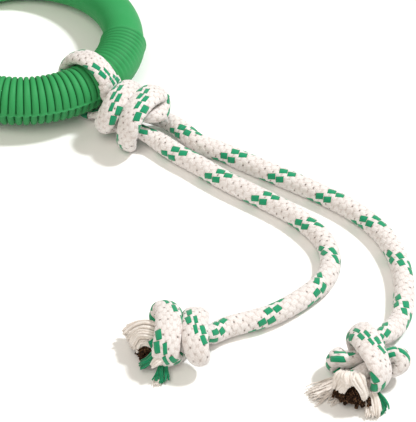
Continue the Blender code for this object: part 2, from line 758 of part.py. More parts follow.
def build_fray(letter, sheath_material, core_material, tracer_material, neck_place, heading_deg, sizes):
    """The three kinds of yarn at a frayed end: opened sheath, core brush and tracer."""
    length, rim_width, rim_height, core_length, opening_deg, sweep, tracer_side, tracer_gap, tracer_length = sizes
    start = np.array((CLEARANCE, 0.0, neck_place[2]))
    steps = fray_rows(length, SHEATH_NECK_WIDTH, rim_width, rim_height, sweep, start)
    sheath = np.array([flap_section(*step, opening_deg) for step in steps])
    bore_neck = SHEATH_NECK_WIDTH - 2 * SHEATH_WALL
    core_steps = fray_rows(core_length, bore_neck * CORE_NECK_SHARE, (rim_width - 2 * SHEATH_WALL) * CORE_WIDTH_SHARE,
                           (rim_height - 2 * SHEATH_WALL) * CORE_HEIGHT_SHARE, sweep, start)
    core = []
    for (middle, half_width, half_height), (sheath_middle, _, _) in zip(core_steps, steps):
        middle[2] = sheath_middle[2]
        core.append(round_section(middle, half_width, half_height, STRAND_SIDES))
    reach = rim_width / 2 + tracer_gap + TRACER_DIAMETER / 2
    tracer_stations = []
    for step in range(FRAY_STEPS + 1):
        share = (TRACER_START + (tracer_length - TRACER_START) * step / FRAY_STEPS) / tracer_length
        spread = math.sin(share * math.pi / 2)
        side = SHEATH_NECK_WIDTH / 2 + tracer_gap + TRACER_DIAMETER / 2
        y = tracer_side * (side + (reach - side) * spread) + start[1] + sweep * share * share
        height = start[2] + (TRACER_DIAMETER / 2 - start[2]) * share
        tracer_stations.append((start[0] + tracer_length * share, y, height, TRACER_DIAMETER / 2, TRACER_DIAMETER / 2))
    tracer_stations = np.array(tracer_stations)
    upward = np.tile((0.0, 0.0, 1.0), (len(tracer_stations), 1))
    tracer = strand_rows(tracer_stations, directions(tracer_stations[:, :3]), upward, STRAND_SIDES // 2)
    for name, rows, material in ((f"fray_sheath_{letter}", sheath, sheath_material),
                                 (f"fray_core_{letter}", np.array(core), core_material),
                                 (f"fray_tracer_{letter}", tracer, tracer_material)):
        add_strand(name, rest_on_floor(to_world(rows, neck_place, heading_deg)), material, None)


def main():
    """Build every piece."""
    clear_scene()
    rubber = make_material("green_rubber", RUBBER_GREEN, 0.45)
    rope = make_material("cream_rope", ROPE_CREAM, 0.9)
    core_yarn = make_material("brown_core_yarn", CORE_BROWN, 0.95)
    tracer_yarn = make_material("green_tracer_yarn", TRACER_GREEN, 0.9)
    ring_empty = bpy.data.objects.new("ring_axis", None)
    bpy.context.collection.objects.link(ring_empty)
    ring_empty.matrix_world = ring_matrix()
    build_ring(rubber, ring_empty)
    ends, ways = build_main_knot(rope)
    frame_a = (END_KNOT_A_PLACE, END_KNOT_A_HEADING_DEG)
    frame_b = (END_KNOT_B_PLACE, END_KNOT_B_HEADING_DEG)
    route_a = END_KNOT_A_WAY_IN + END_KNOT_A_ROUTE + END_KNOT_A_WAY_OUT
    route_b = END_KNOT_B_WAY_IN + END_KNOT_B_ROUTE + END_KNOT_B_WAY_OUT
    knot_a = end_knot_stations(route_a, END_KNOT_A_SECTION_SHARES, *frame_a)
    knot_b = end_knot_stations(route_b, END_KNOT_B_SECTION_SHARES, *frame_b)
    neck_a = build_tail("a", rope, ends[0], ways[0], TAIL_A_ROUTE, knot_a, frame_a, END_KNOT_A_MIDDLE_HEIGHT,
                        FRAY_A_HEADING_DEG)
    neck_b = build_tail("b", rope, ends[1], ways[1], TAIL_B_ROUTE, knot_b, frame_b, END_KNOT_B_MIDDLE_HEIGHT,
                        FRAY_B_HEADING_DEG)
    fray_a = (FRAY_A_LENGTH, FRAY_A_RIM_WIDTH, FRAY_A_RIM_HEIGHT, FRAY_A_CORE_LENGTH, FRAY_A_OPENING_DEG,
              FRAY_A_SWEEP, FRAY_A_TRACER_SIDE, FRAY_A_TRACER_GAP, FRAY_A_TRACER_LENGTH)
    fray_b = (FRAY_B_LENGTH, FRAY_B_RIM_WIDTH, FRAY_B_RIM_HEIGHT, FRAY_B_CORE_LENGTH, FRAY_B_OPENING_DEG,
              FRAY_B_SWEEP, FRAY_B_TRACER_SIDE, FRAY_B_TRACER_GAP, FRAY_B_TRACER_LENGTH)
    build_fray("a", rope, core_yarn, tracer_yarn, neck_a, FRAY_A_HEADING_DEG, fray_a)
    build_fray("b", rope, core_yarn, tracer_yarn, neck_b, FRAY_B_HEADING_DEG, fray_b)


main()
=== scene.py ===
"""Looks of the rope toy: a ribbed rubber ring with a doubled braided rope knotted on to it.

The picture's right is +X and up is +Z. The origin is on the floor under the main knot. Lengths are in metres.
"""
from __future__ import annotations

import logging
import math
from collections.abc import Sequence
from dataclasses import dataclass
from enum import Enum

import bpy
import numpy as np
from mathutils import Matrix, Vector

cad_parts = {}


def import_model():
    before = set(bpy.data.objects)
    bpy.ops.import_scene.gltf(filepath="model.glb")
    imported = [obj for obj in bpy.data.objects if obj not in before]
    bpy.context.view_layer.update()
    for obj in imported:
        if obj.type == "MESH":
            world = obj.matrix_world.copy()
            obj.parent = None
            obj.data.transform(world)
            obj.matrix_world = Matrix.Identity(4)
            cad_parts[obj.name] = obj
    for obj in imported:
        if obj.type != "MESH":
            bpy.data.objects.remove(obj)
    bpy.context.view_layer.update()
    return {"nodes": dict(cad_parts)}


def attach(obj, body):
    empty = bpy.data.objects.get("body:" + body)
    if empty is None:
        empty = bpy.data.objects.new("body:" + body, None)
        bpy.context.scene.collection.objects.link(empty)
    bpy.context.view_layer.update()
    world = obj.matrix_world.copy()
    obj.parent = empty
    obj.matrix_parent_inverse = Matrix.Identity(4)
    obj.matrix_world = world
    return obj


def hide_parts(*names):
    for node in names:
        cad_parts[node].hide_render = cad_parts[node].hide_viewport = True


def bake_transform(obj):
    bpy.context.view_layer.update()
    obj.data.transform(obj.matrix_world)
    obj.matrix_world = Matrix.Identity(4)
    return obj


logging.basicConfig(level=logging.INFO, format="%(message)s")
LOG = logging.getLogger("rope_toy")

Rows = Sequence[Sequence[float]]
Place = tuple[float, float, float]
Colour = tuple[float, float, float, float]

CLEARANCE = 0.0003
ROPE_DIAMETER = 0.0125
ROPE_RADIUS = ROPE_DIAMETER / 2
CARRIERS = 6
WRAP_SWELL = (0.0004, 0.0010)
BENDING_LENGTH = 0.045
POINTS_PER_SPAN = 12
EASE_PASSES = 60
LAST_EASE_PASSES = 12
PATH_STRIDE = 8
SMALL = 1e-6
OWN_MAP = "lay"

# The ring and the rope loop round it, as in the part
RING_RADIUS = 0.064
RIB_CREST_RADIUS = 0.015
SMOOTH_RADIUS = 0.0128
RING_STANDOFF = 0.0332
KNOT_HEADING_DEG = -39.9
LOOP_WIDTH = 0.014
LOOP_TOP_THICKNESS = 0.0078
LOOP_UNDER_THICKNESS = 0.006
LOOP_KNOT_THICKNESS = 0.007
LOOP_KNOT_GAP = 0.0008
LOOP_POINTS = 24
LOOP_TOP_DEG = 40.0
LOOP_UNDER_DEG = 300.0
LOOP_DOWN_DEG = (27.0, 17.0, 8.0)
LOOP_SLANTS = (
    (0.0, -0.0010), (40.0, -0.0010), (90.0, -0.0015), (180.0, -0.0040), (270.0, -0.0050), (300.0, -0.0060),
)
LOOP_HEIGHT = LOOP_UNDER_THICKNESS + CLEARANCE + RIB_CREST_RADIUS
RING_TILT = math.asin((LOOP_HEIGHT - SMOOTH_RADIUS) / (2 * RING_RADIUS))

# The rope's routes, as in the part, and its thickness and width there as shares of the rope's own
TYING_ROUTE = (
    (-0.0112, -0.0010, 0.0212), (-0.0060, -0.0010, 0.0220), (0.0020, -0.0010, 0.0222),
    (0.0096, 0.0005, 0.0220), (0.0150, 0.0052, 0.0210), (0.0158, 0.0120, 0.0198), (0.0128, 0.0184, 0.0198),
    (0.0092, 0.0206, 0.0236), (0.0084, 0.0156, 0.0292), (0.0086, 0.0075, 0.0322), (0.0088, -0.0010, 0.0326),
    (0.0092, -0.0090, 0.0302), (0.0098, -0.0148, 0.0235), (0.0096, -0.0162, 0.0145),
    (0.0074, -0.0125, 0.0056), (0.0026, -0.0045, 0.0030), (-0.0022, 0.0050, 0.0030),
    (-0.0050, 0.0140, 0.0056), (-0.0062, 0.0176, 0.0138), (-0.0064, 0.0160, 0.0225),
    (-0.0060, 0.0090, 0.0298), (-0.0056, 0.0005, 0.0324), (-0.0054, -0.0080, 0.0304),
    (-0.0058, -0.0150, 0.0230), (-0.0082, -0.0168, 0.0156), (-0.0090, -0.0122, 0.0104),
    (-0.0036, -0.0068, 0.0118), (0.0025, -0.0052, 0.0138), (0.0088, -0.0042, 0.0130),
    (0.0138, -0.0018, 0.0104), (0.0180, 0.0018, 0.0076), (0.0220, 0.0044, 0.0064), (0.0260, 0.0056, 0.00625),
)
TYING_SECTION_SHARES = (
    (0.62, 0.74), (0.72, 0.74), (0.74, 0.74), (0.74, 0.74), (0.74, 0.80), (0.74, 0.85), (0.74, 0.92),
    (0.70, 1.04), (0.69, 1.10), (0.69, 1.12), (0.69, 1.12), (0.69, 1.12), (0.69, 1.10), (0.69, 1.04),
    (0.66, 0.96), (0.66, 0.92), (0.66, 0.88), (0.66, 0.90), (0.67, 0.96), (0.67, 1.00), (0.67, 1.02),
    (0.67, 1.02), (0.67, 1.04), (0.67, 1.02), (0.67, 0.90), (0.70, 0.76), (0.72, 0.74), (0.72, 0.72),
    (0.72, 0.72), (0.77, 0.77), (0.87, 0.87), (0.98, 0.98), (1.0, 1.0),
)
CORE_ROUTE = (
    (-0.0182, -0.0036, 0.0066), (-0.0125, 0.0006, 0.0098), (-0.0060, 0.0048, 0.0130), (0.0, 0.0078, 0.0136),
    (0.0060, 0.0116, 0.0114), (0.0120, 0.0170, 0.0084), (0.0170, 0.0208, 0.0066), (0.0215, 0.0226, 0.00625),
    (0.0260, 0.0234, 0.00625),
)
CORE_SECTION_SHARES = (
    (0.64, 0.80), (0.70, 0.74), (0.74, 0.74), (0.74, 0.74), (0.74, 0.74), (0.80, 0.80), (0.90, 0.90),
    (1.0, 1.0), (1.0, 1.0),
)
MAIN_KNOT_TURN_DEG = 10.0
MAIN_KNOT_TURN_SHARES = (
    (-0.017, 0.0), (-0.011, 1.0), (0.015, 1.0), (0.025, 0.0),
)
END_KNOT_A_WAY_IN = (
    (-0.0340, -0.0054, 0.0082), (-0.0290, -0.0047, 0.0101), (-0.0242, -0.0042, 0.0120),
    (-0.0192, -0.0040, 0.0138),
)
END_KNOT_A_ROUTE = (
    (-0.0104, -0.0048, 0.0154), (-0.0050, -0.0047, 0.0143), (0.0020, -0.0047, 0.0140),
    (0.0076, -0.0054, 0.0144), (0.0116, -0.0084, 0.0152), (0.0130, -0.0126, 0.0146),
    (0.0114, -0.0158, 0.0114), (0.0090, -0.0148, 0.0070), (0.0080, -0.0098, 0.0048),
    (0.0078, -0.0034, 0.0044), (0.0080, 0.0032, 0.0046), (0.0086, 0.0100, 0.0068), (0.0092, 0.0144, 0.0126),
    (0.0086, 0.0140, 0.0194), (0.0060, 0.0080, 0.0242), (0.0014, -0.0004, 0.0250),
    (-0.0034, -0.0088, 0.0240), (-0.0066, -0.0142, 0.0194), (-0.0078, -0.0146, 0.0126),
    (-0.0072, -0.0096, 0.0068), (-0.0067, -0.0022, 0.0047), (-0.0066, 0.0066, 0.0054),
    (-0.0074, 0.0134, 0.0088), (-0.0094, 0.0166, 0.0138), (-0.0102, 0.0144, 0.0184),
    (-0.0080, 0.0094, 0.0182), (-0.0028, 0.0062, 0.0155), (0.0030, 0.0049, 0.0142), (0.0084, 0.0043, 0.0146),
)
END_KNOT_A_WAY_OUT = (
    (0.0130, 0.0036, 0.0146), (0.0160, 0.0030, 0.0138), (0.0186, 0.0026, 0.0128),
)
END_KNOT_B_WAY_IN = (
    (-0.0266, -0.0150, 0.00625), (-0.0222, -0.0124, 0.00625), (-0.0186, -0.0086, 0.0070),
    (-0.0150, -0.0060, 0.0094),
)
END_KNOT_B_ROUTE = (
    (-0.0110, -0.0044, 0.0126), (-0.0050, -0.0047, 0.0138), (0.0020, -0.0047, 0.0140),
    (0.0076, -0.0054, 0.0136), (0.0116, -0.0084, 0.0131), (0.0130, -0.0126, 0.0137),
    (0.0114, -0.0158, 0.0169), (0.0090, -0.0148, 0.0213), (0.0080, -0.0098, 0.0235),
    (0.0078, -0.0034, 0.0239), (0.0080, 0.0032, 0.0237), (0.0086, 0.0100, 0.0215), (0.0092, 0.0142, 0.0159),
    (0.0086, 0.0138, 0.0095), (0.0060, 0.0078, 0.0051), (0.0014, -0.0004, 0.0043),
    (-0.0034, -0.0086, 0.0051), (-0.0066, -0.0140, 0.0095), (-0.0078, -0.0144, 0.0159),
    (-0.0072, -0.0096, 0.0215), (-0.0067, -0.0022, 0.0236), (-0.0066, 0.0066, 0.0229),
    (-0.0074, 0.0132, 0.0195), (-0.0094, 0.0162, 0.0145), (-0.0102, 0.0138, 0.0099),
    (-0.0080, 0.0090, 0.0099), (-0.0028, 0.0060, 0.0123), (0.0030, 0.0048, 0.0138), (0.0084, 0.0042, 0.0137),
)
END_KNOT_B_WAY_OUT = (
    (0.0130, 0.0044, 0.0126), (0.0154, 0.0050, 0.0116), (0.0178, 0.0058, 0.0106),
)
END_KNOT_SECTION_SHARES = (
    (1.0, 1.0), (1.0, 1.0), (0.95, 0.95), (0.84, 0.84), (0.74, 0.74), (0.68, 0.68), (0.66, 0.66),
    (0.67, 0.68), (0.70, 0.78), (0.72, 0.90), (0.70, 1.00), (0.68, 1.06), (0.68, 1.08), (0.68, 1.08),
    (0.68, 1.08), (0.68, 1.08), (0.68, 1.10), (0.68, 1.12), (0.68, 1.16), (0.68, 1.18), (0.68, 1.16),
    (0.68, 1.12), (0.68, 1.08), (0.67, 1.08), (0.67, 1.08), (0.67, 1.06), (0.67, 1.00), (0.67, 0.90),
    (0.68, 0.80), (0.68, 0.72), (0.66, 0.67), (0.66, 0.66), (0.68, 0.70), (0.76, 0.80), (0.84, 0.90),
    (0.88, 0.96),
)
TAIL_A_ROUTE = (
    (0.0601, -0.0131), (0.0737, -0.0195), (0.0874, -0.0255), (0.1010, -0.0313), (0.1150, -0.0376),
    (0.1285, -0.0443), (0.1411, -0.0517), (0.1530, -0.0613), (0.1625, -0.0730), (0.1688, -0.0860),
    (0.1727, -0.1010), (0.1738, -0.1158), (0.1730, -0.1320), (0.1708, -0.1404),
)
TAIL_B_ROUTE = (
    (0.0425, -0.0248), (0.0548, -0.0329), (0.0675, -0.0406), (0.0810, -0.0476), (0.0943, -0.0544),
    (0.1072, -0.0623), (0.1186, -0.0723), (0.1272, -0.0839), (0.1302, -0.0985), (0.1275, -0.1126),
    (0.1189, -0.1247), (0.1085, -0.1357), (0.0969, -0.1454),
)
MAIN_KNOT_MIDDLE_HEIGHT = 0.0165
END_KNOT_A_MIDDLE_HEIGHT = 0.0144
END_KNOT_B_MIDDLE_HEIGHT = 0.0134

# Where the green tracer carriers show: place along the run, and angle round it from the top
MAIN_TRACER = (
    (0.0, 306.0), (0.1037, 300.0), (0.1325, 348.0), (0.1510, 178.0), (0.2290, 335.0), (0.2460, 222.0),
    (0.3400, 293.0), (0.3525, 192.0), (0.4082, 260.0),
)
TAIL_A_TRACER = (
    (0.0022, 30.0), (0.0390, 36.0), (0.0715, 36.0), (0.1052, 24.0), (0.1366, 30.0), (0.1713, 30.0),
    (0.2110, 6.0), (0.2740, 352.0), (0.3225, 230.0), (0.3380, 335.0), (0.3515, 233.0), (0.4085, 272.0),
    (0.4150, 215.0),
)
TAIL_B_TRACER = (
    (0.0127, 36.0), (0.0435, 42.0), (0.0761, 42.0), (0.1097, 36.0), (0.1394, 0.0), (0.1663, 324.0),
    (0.2027, 336.0), (0.2389, 330.0), (0.2911, 156.0), (0.3170, 213.0), (0.3238, 129.0), (0.3775, 312.0),
)


def between(at: float, start: float, end: float, first: np.ndarray, second: np.ndarray) -> np.ndarray:
    """The row at a place between two rows, in proportion."""
    return (end - at) / (end - start) * first + (at - start) / (end - start) * second


def distances(places: np.ndarray) -> np.ndarray:
    """How far along its line each place is."""
    return np.concatenate(([0.0], np.cumsum(np.linalg.norm(np.diff(places[:, :3], axis=0), axis=1))))


def smooth_route(route: Rows, step: float) -> np.ndarray:
    """Even stations on a centripetal curve through a route's rows.

    Args:
        route: Rows of place and any further columns.
        step: Distance between stations.

    Returns:
        One row per station.
    """
    rows = np.array(route, dtype=float)
    spans = np.sqrt(np.linalg.norm(np.diff(rows[:, :3], axis=0), axis=1))
    knots = np.concatenate(([-spans[0], 0.0], np.cumsum(spans), [spans.sum() + spans[-1]]))
    rows = np.vstack((2 * rows[0] - rows[1], rows, 2 * rows[-1] - rows[-2]))
    fine = []
    for index in range(1, len(rows) - 2):
        t0, t1, t2, t3 = knots[index - 1:index + 3]
        p0, p1, p2, p3 = rows[index - 1:index + 3]
        for at in np.linspace(t1, t2, POINTS_PER_SPAN, endpoint=False):
            a1, a2, a3 = between(at, t0, t1, p0, p1), between(at, t1, t2, p1, p2), between(at, t2, t3, p2, p3)
            b1, b2 = between(at, t0, t2, a1, a2), between(at, t1, t3, a2, a3)
            fine.append(between(at, t1, t2, b1, b2))
    table = np.array([*fine, rows[-2]])
    lengths = distances(table)
    even = np.linspace(0.0, lengths[-1], max(2, round(lengths[-1] / step)) + 1)
    return np.stack([np.interp(even, lengths, table[:, column]) for column in range(table.shape[1])], axis=1)


def ease(stations: np.ndarray, passes: int) -> np.ndarray:
    """Average each station with its neighbours, which opens the tightest bends.

    Args:
        stations: Rows of place and size, which are changed.
        passes: How many times.

    Returns:
        The same rows.
    """
    for _ in range(passes):
        stations[1:-1] = (stations[:-2] + 2 * stations[1:-1] + stations[2:]) / 4
    return stations


def length_of(places: np.ndarray) -> float:
    """Length of the line through the places."""
    return float(np.linalg.norm(np.diff(places[:, :3], axis=0), axis=1).sum())


def directions(places: np.ndarray) -> np.ndarray:
    """Unit direction at each place."""
    slope = np.gradient(places, axis=0)
    return slope / np.linalg.norm(slope, axis=1)[:, None]


def turned(points: np.ndarray, place: Sequence[float], heading_deg: float) -> np.ndarray:
    """Turn points of a knot's own frame into the part's frame.

    Args:
        points: Points whose last axis is x, y, z.
        place: Where the knot's middle is on the floor.
        heading_deg: Which way the knot points, from +X.

    Returns:
        The points in the part's frame.
    """
    heading = math.radians(heading_deg)
    result = np.array(points, dtype=float)
    x, y = result[..., 0].copy(), result[..., 1].copy()
    result[..., 0] = place[0] + x * math.cos(heading) - y * math.sin(heading)
    result[..., 1] = place[1] + x * math.sin(heading) + y * math.cos(heading)
    return result


def nearest(stations: np.ndarray, place: Sequence[float]) -> int:
    """Index of the station nearest to a place."""
    return int(np.linalg.norm(stations[:, :3] - np.array(place)[:3], axis=1).argmin())


def deselect_all() -> None:
    """Leave nothing selected, so that the next operator acts on its own piece alone."""
    bpy.ops.object.select_all(action="DESELECT")


def mesh_object(name: str, vertices: np.ndarray, faces: Sequence[Sequence[int]], layer: np.ndarray,
                material: bpy.types.Material) -> bpy.types.Object:
    """Make a smooth mesh object.

    Args:
        name: The piece's name.
        vertices: One row per vertex.
        faces: Vertex numbers of each face.
        layer: A place on the piece's own map for each corner of each face, in order.
        material: The piece's material.

    Returns:
        The new object, in the scene.
    """
    mesh = bpy.data.meshes.new(name)
    mesh.from_pydata(vertices.tolist(), [], faces)
    mesh.update()
    mesh.uv_layers.new(name=OWN_MAP).data.foreach_set("uv", layer.astype(np.float32).ravel())
    mesh.shade_smooth()
    mesh.materials.append(material)
    piece = bpy.data.objects.new(name, mesh)
    bpy.context.scene.collection.objects.link(piece)
    return piece


# Materials


@dataclass(frozen=True)
class Grain:
    """Size, detail and roughness of a Noise texture."""

    scale: float
    detail: float = 2.0
    roughness: float = 0.5


@dataclass(frozen=True)
class Share:
    """How much of a value counts, once low to high is turned into a smooth 0 to 1."""

    low: float
    high: float
    amount: float

    def of(self, value: Signal) -> Signal:
        """The value's share."""
        return value.ramp(self.low, self.high) * self.amount


@dataclass(frozen=True)
class Signal:
    """What a node gives. Sums, products and shares of signals and plain numbers add Math nodes."""

    nodes: Nodes
    socket: bpy.types.NodeSocket

    def __add__(self, other: float | Signal) -> Signal:
        """Sum."""
        return self.nodes.math("ADD", self, other)

    def __sub__(self, other: float | Signal) -> Signal:
        """Difference."""
        return self.nodes.math("SUBTRACT", self, other)

    def __rsub__(self, other: float) -> Signal:
        """Difference from a plain number."""
        return self.nodes.math("SUBTRACT", other, self)

    def __mul__(self, other: float | Signal) -> Signal:
        """Product."""
        return self.nodes.math("MULTIPLY", self, other)

    def __truediv__(self, other: float) -> Signal:
        """Share."""
        return self.nodes.math("DIVIDE", self, other)

    def __lt__(self, limit: float | Signal) -> Signal:
        """1 where it is below a limit, and 0 elsewhere."""
        return self.nodes.math("LESS_THAN", self, limit)

    def __abs__(self) -> Signal:
        """Size without its sign."""
        return self.nodes.math("ABSOLUTE", self)

    def round(self) -> Signal:
        """Nearest whole number."""
        return self.nodes.math("ROUND", self)

    def clamped(self) -> Signal:
        """The same, kept from 0 to 1 by its own node."""
        self.socket.node.use_clamp = True
        return self

    def ramp(self, low: float, high: float) -> Signal:
        """Turn low to high into a smooth 0 to 1."""
        return self.nodes.add("MapRange", {"Value": self, "From Min": low, "From Max": high}, "Result",
                              interpolation_type="SMOOTHSTEP")


class Nodes:
    """One material's nodes."""

    def __init__(self, name: str) -> None:
        """Start a material with its shader alone.

        Args:
            name: The material's name.
        """
        self.material = bpy.data.materials.new(name)
        self.material.use_nodes = True
        self.tree = self.material.node_tree
        self.tree.nodes.clear()
        output = self.tree.nodes.new("ShaderNodeOutputMaterial")
        self.shader = self.tree.nodes.new("ShaderNodeBsdfPrincipled")
        self.tree.links.new(self.shader.outputs[0], output.inputs["Surface"])

    def feed(self, sockets: bpy.types.bpy_prop_collection,
             values: dict[str | int, float | Colour | Signal]) -> None:
        """Give sockets their plain numbers, colours and links, each by the socket's name or number.

        Args:
            sockets: A node's inputs.
            values: What goes into each.
        """
        for key, value in values.items():
            if isinstance(value, Signal):
                self.tree.links.new(value.socket, sockets[key])
            else:
                sockets[key].default_value = value

    def add(self, kind: str, values: dict[str | int, float | Colour | Signal], out: str | int = 0,
            **settings: str) -> Signal:
        """Add a node.

        Args:
            kind: Its kind, without the words that every kind starts with.
            values: What goes into its sockets.
            out: The socket that gives its result.
            settings: Its own settings.

        Returns:
            Its result.
        """
        node = self.tree.nodes.new(f"ShaderNode{kind}")
        for setting, choice in settings.items():
            setattr(node, setting, choice)
        self.feed(node.inputs, values)
        return Signal(self, node.outputs[out])

    def math(self, operation: str, first: float | Signal, second: float | Signal = 0.0) -> Signal:
        """Add a Math node."""
        return self.add("Math", {0: first, 1: second}, operation=operation)

    def mix(self, share: Signal, first: Colour | Signal, second: Colour | Signal) -> Signal:
        """Mix two colours by the second one's share."""
        return self.add("Mix", {0: share, 6: first, 7: second}, 2, data_type="RGBA")

    def noise(self, grain: Grain) -> Signal:
        """Add a Noise texture on Object coordinates."""
        return self.add("TexNoise", {"Vector": self.add("TexCoord", {}, "Object"), "Scale": grain.scale,
                                     "Detail": grain.detail, "Roughness": grain.roughness}, "Fac")

    def own_map(self) -> tuple[Signal, Signal]:
        """Both values of the piece's own map."""
        first = self.add("SeparateXYZ", {0: self.add("UVMap", {}, "UV", uv_map=OWN_MAP)}, "X")
        return first, Signal(self, first.socket.node.outputs["Y"])

    def finish(self, values: dict[str | int, float | Colour | Signal], height: Signal,
               relief: tuple[float, float]) -> bpy.types.Material:
        """Give the shader its values and a bump.

        Args:
            values: What goes into the shader's sockets.
            height: The bump's height.
            relief: The bump's strength and depth.

        Returns:
            The finished material.
        """
        bump = self.add("Bump", {"Strength": relief[0], "Distance": relief[1], "Height": height}, "Normal")
        self.feed(self.shader.inputs, {**values, "Normal": bump})
        return self.material


Field = np.ndarray | Signal


@dataclass(frozen=True)
class RubberFinish:
    """Satin green rubber with paler clouds, painted shade where the ring is shaded and a painted highlight on
    raised lines.
    """

    base: Colour = (0.034, 0.305, 0.092, 1.0)
    # painted shade: the colour of the grooves and of other places painted as shaded
    groove_shade: Colour = (0.002, 0.060, 0.012, 1.0)
    # paler colour: the rubber's own random clouds, and a painted highlight on raised lines
    worn_and_highlight: Colour = (0.080, 0.400, 0.170, 1.0)
    roughness: float = 0.52
    bloom_roughness: float = 0.10
    specular: float = 0.16
    cloud: Grain = Grain(45.0, 3.0)
    bloom: Grain = Grain(380.0, 3.0, 0.6)
    skin: Grain = Grain(1100.0, 4.0, 0.6)
    cloudy: Share = Share(0.35, 0.75, 0.12)
    bloom_edges: tuple[float, float] = (0.45, 0.75)
    bloomed: float = 0.06
    # painted highlight: how much paler the raised lines are painted
    raised_highlight: Share = Share(0.0, 0.6, 0.2)
    groove_edges: tuple[float, float] = (0.05, 0.95)
    relief: tuple[float, float] = (0.10, 0.0004)

    def make(self) -> bpy.types.Material:
        """Build the material. The piece's own map holds the painted shade: 1 in grooves, below 0 on a painted
        highlight.

        Returns:
            The rubber's material.
        """
        nodes = Nodes("green_rubber_look")
        # share of painted shade from the own map, below 0 where a painted highlight goes
        depth = nodes.own_map()[1]
        bloom = nodes.noise(self.bloom).ramp(*self.bloom_edges)
        pale = self.cloudy.of(nodes.noise(self.cloud)) + bloom * self.bloomed
        # painted highlight on raised lines, over the rubber's own paler clouds
        colour = nodes.mix(self.raised_highlight.of(depth * -1.0), nodes.mix(pale, self.base, self.worn_and_highlight), self.worn_and_highlight)
        # painted shade in the grooves and other shaded places
        colour = nodes.mix(depth.ramp(*self.groove_edges), colour, self.groove_shade)
        return nodes.finish({"Base Color": colour, "Roughness": bloom * self.bloom_roughness + self.roughness,
                             "Specular IOR Level": self.specular}, nodes.noise(self.skin), self.relief)


@dataclass(frozen=True)
class Floats:
    """The floats of the plait: a float is the stretch of a carrier that shows between two dives.

    Left-hand floats lie over right-hand ones. A float leans along the rope. Its width and length are from its
    middle to its side and to its end, in crossings of the plait, and so are places along and round the rope.
    """

    lean: float = 0.35
    width: float = 0.578
    length: float = 0.97

    @staticmethod
    def off_middle(place: Field, shift: float) -> Field:
        """How far a place is from the middle of its float, from -1 to 1. Middles are 2 apart."""
        place = place - shift
        return place - (place * 0.5).round() * 2.0

    def place(self, off_along: Field, off_around: Field, hand: float) -> tuple[Field, Field]:
        """Place across a float, from -1 to 1, and along it, from 0 to 1.

        Args:
            off_along: How far along the rope the place is from the float's middle.
            off_around: How far round the rope.
            hand: 1 for a left-hand carrier, -1 for a right-hand one.

        Returns:
            The two places.
        """
        lean = self.lean * hand
        across, lengthwise = off_along * lean + off_around, off_along - off_around * lean
        return across / self.width, abs(lengthwise / self.length)

    def left(self, along: Field, around: Field) -> tuple[Field, Field]:
        """Place across and along the nearest left-hand float."""
        return self.place(self.off_middle(along, 0.0), self.off_middle(around, 1.0), 1.0)

    def right(self, along: Field, around: Field) -> tuple[Field, Field]:
        """Place across and along the nearest right-hand float."""
        return self.place(self.off_middle(along, 1.0), self.off_middle(around, 0.0), -1.0)


FLOATS = Floats()


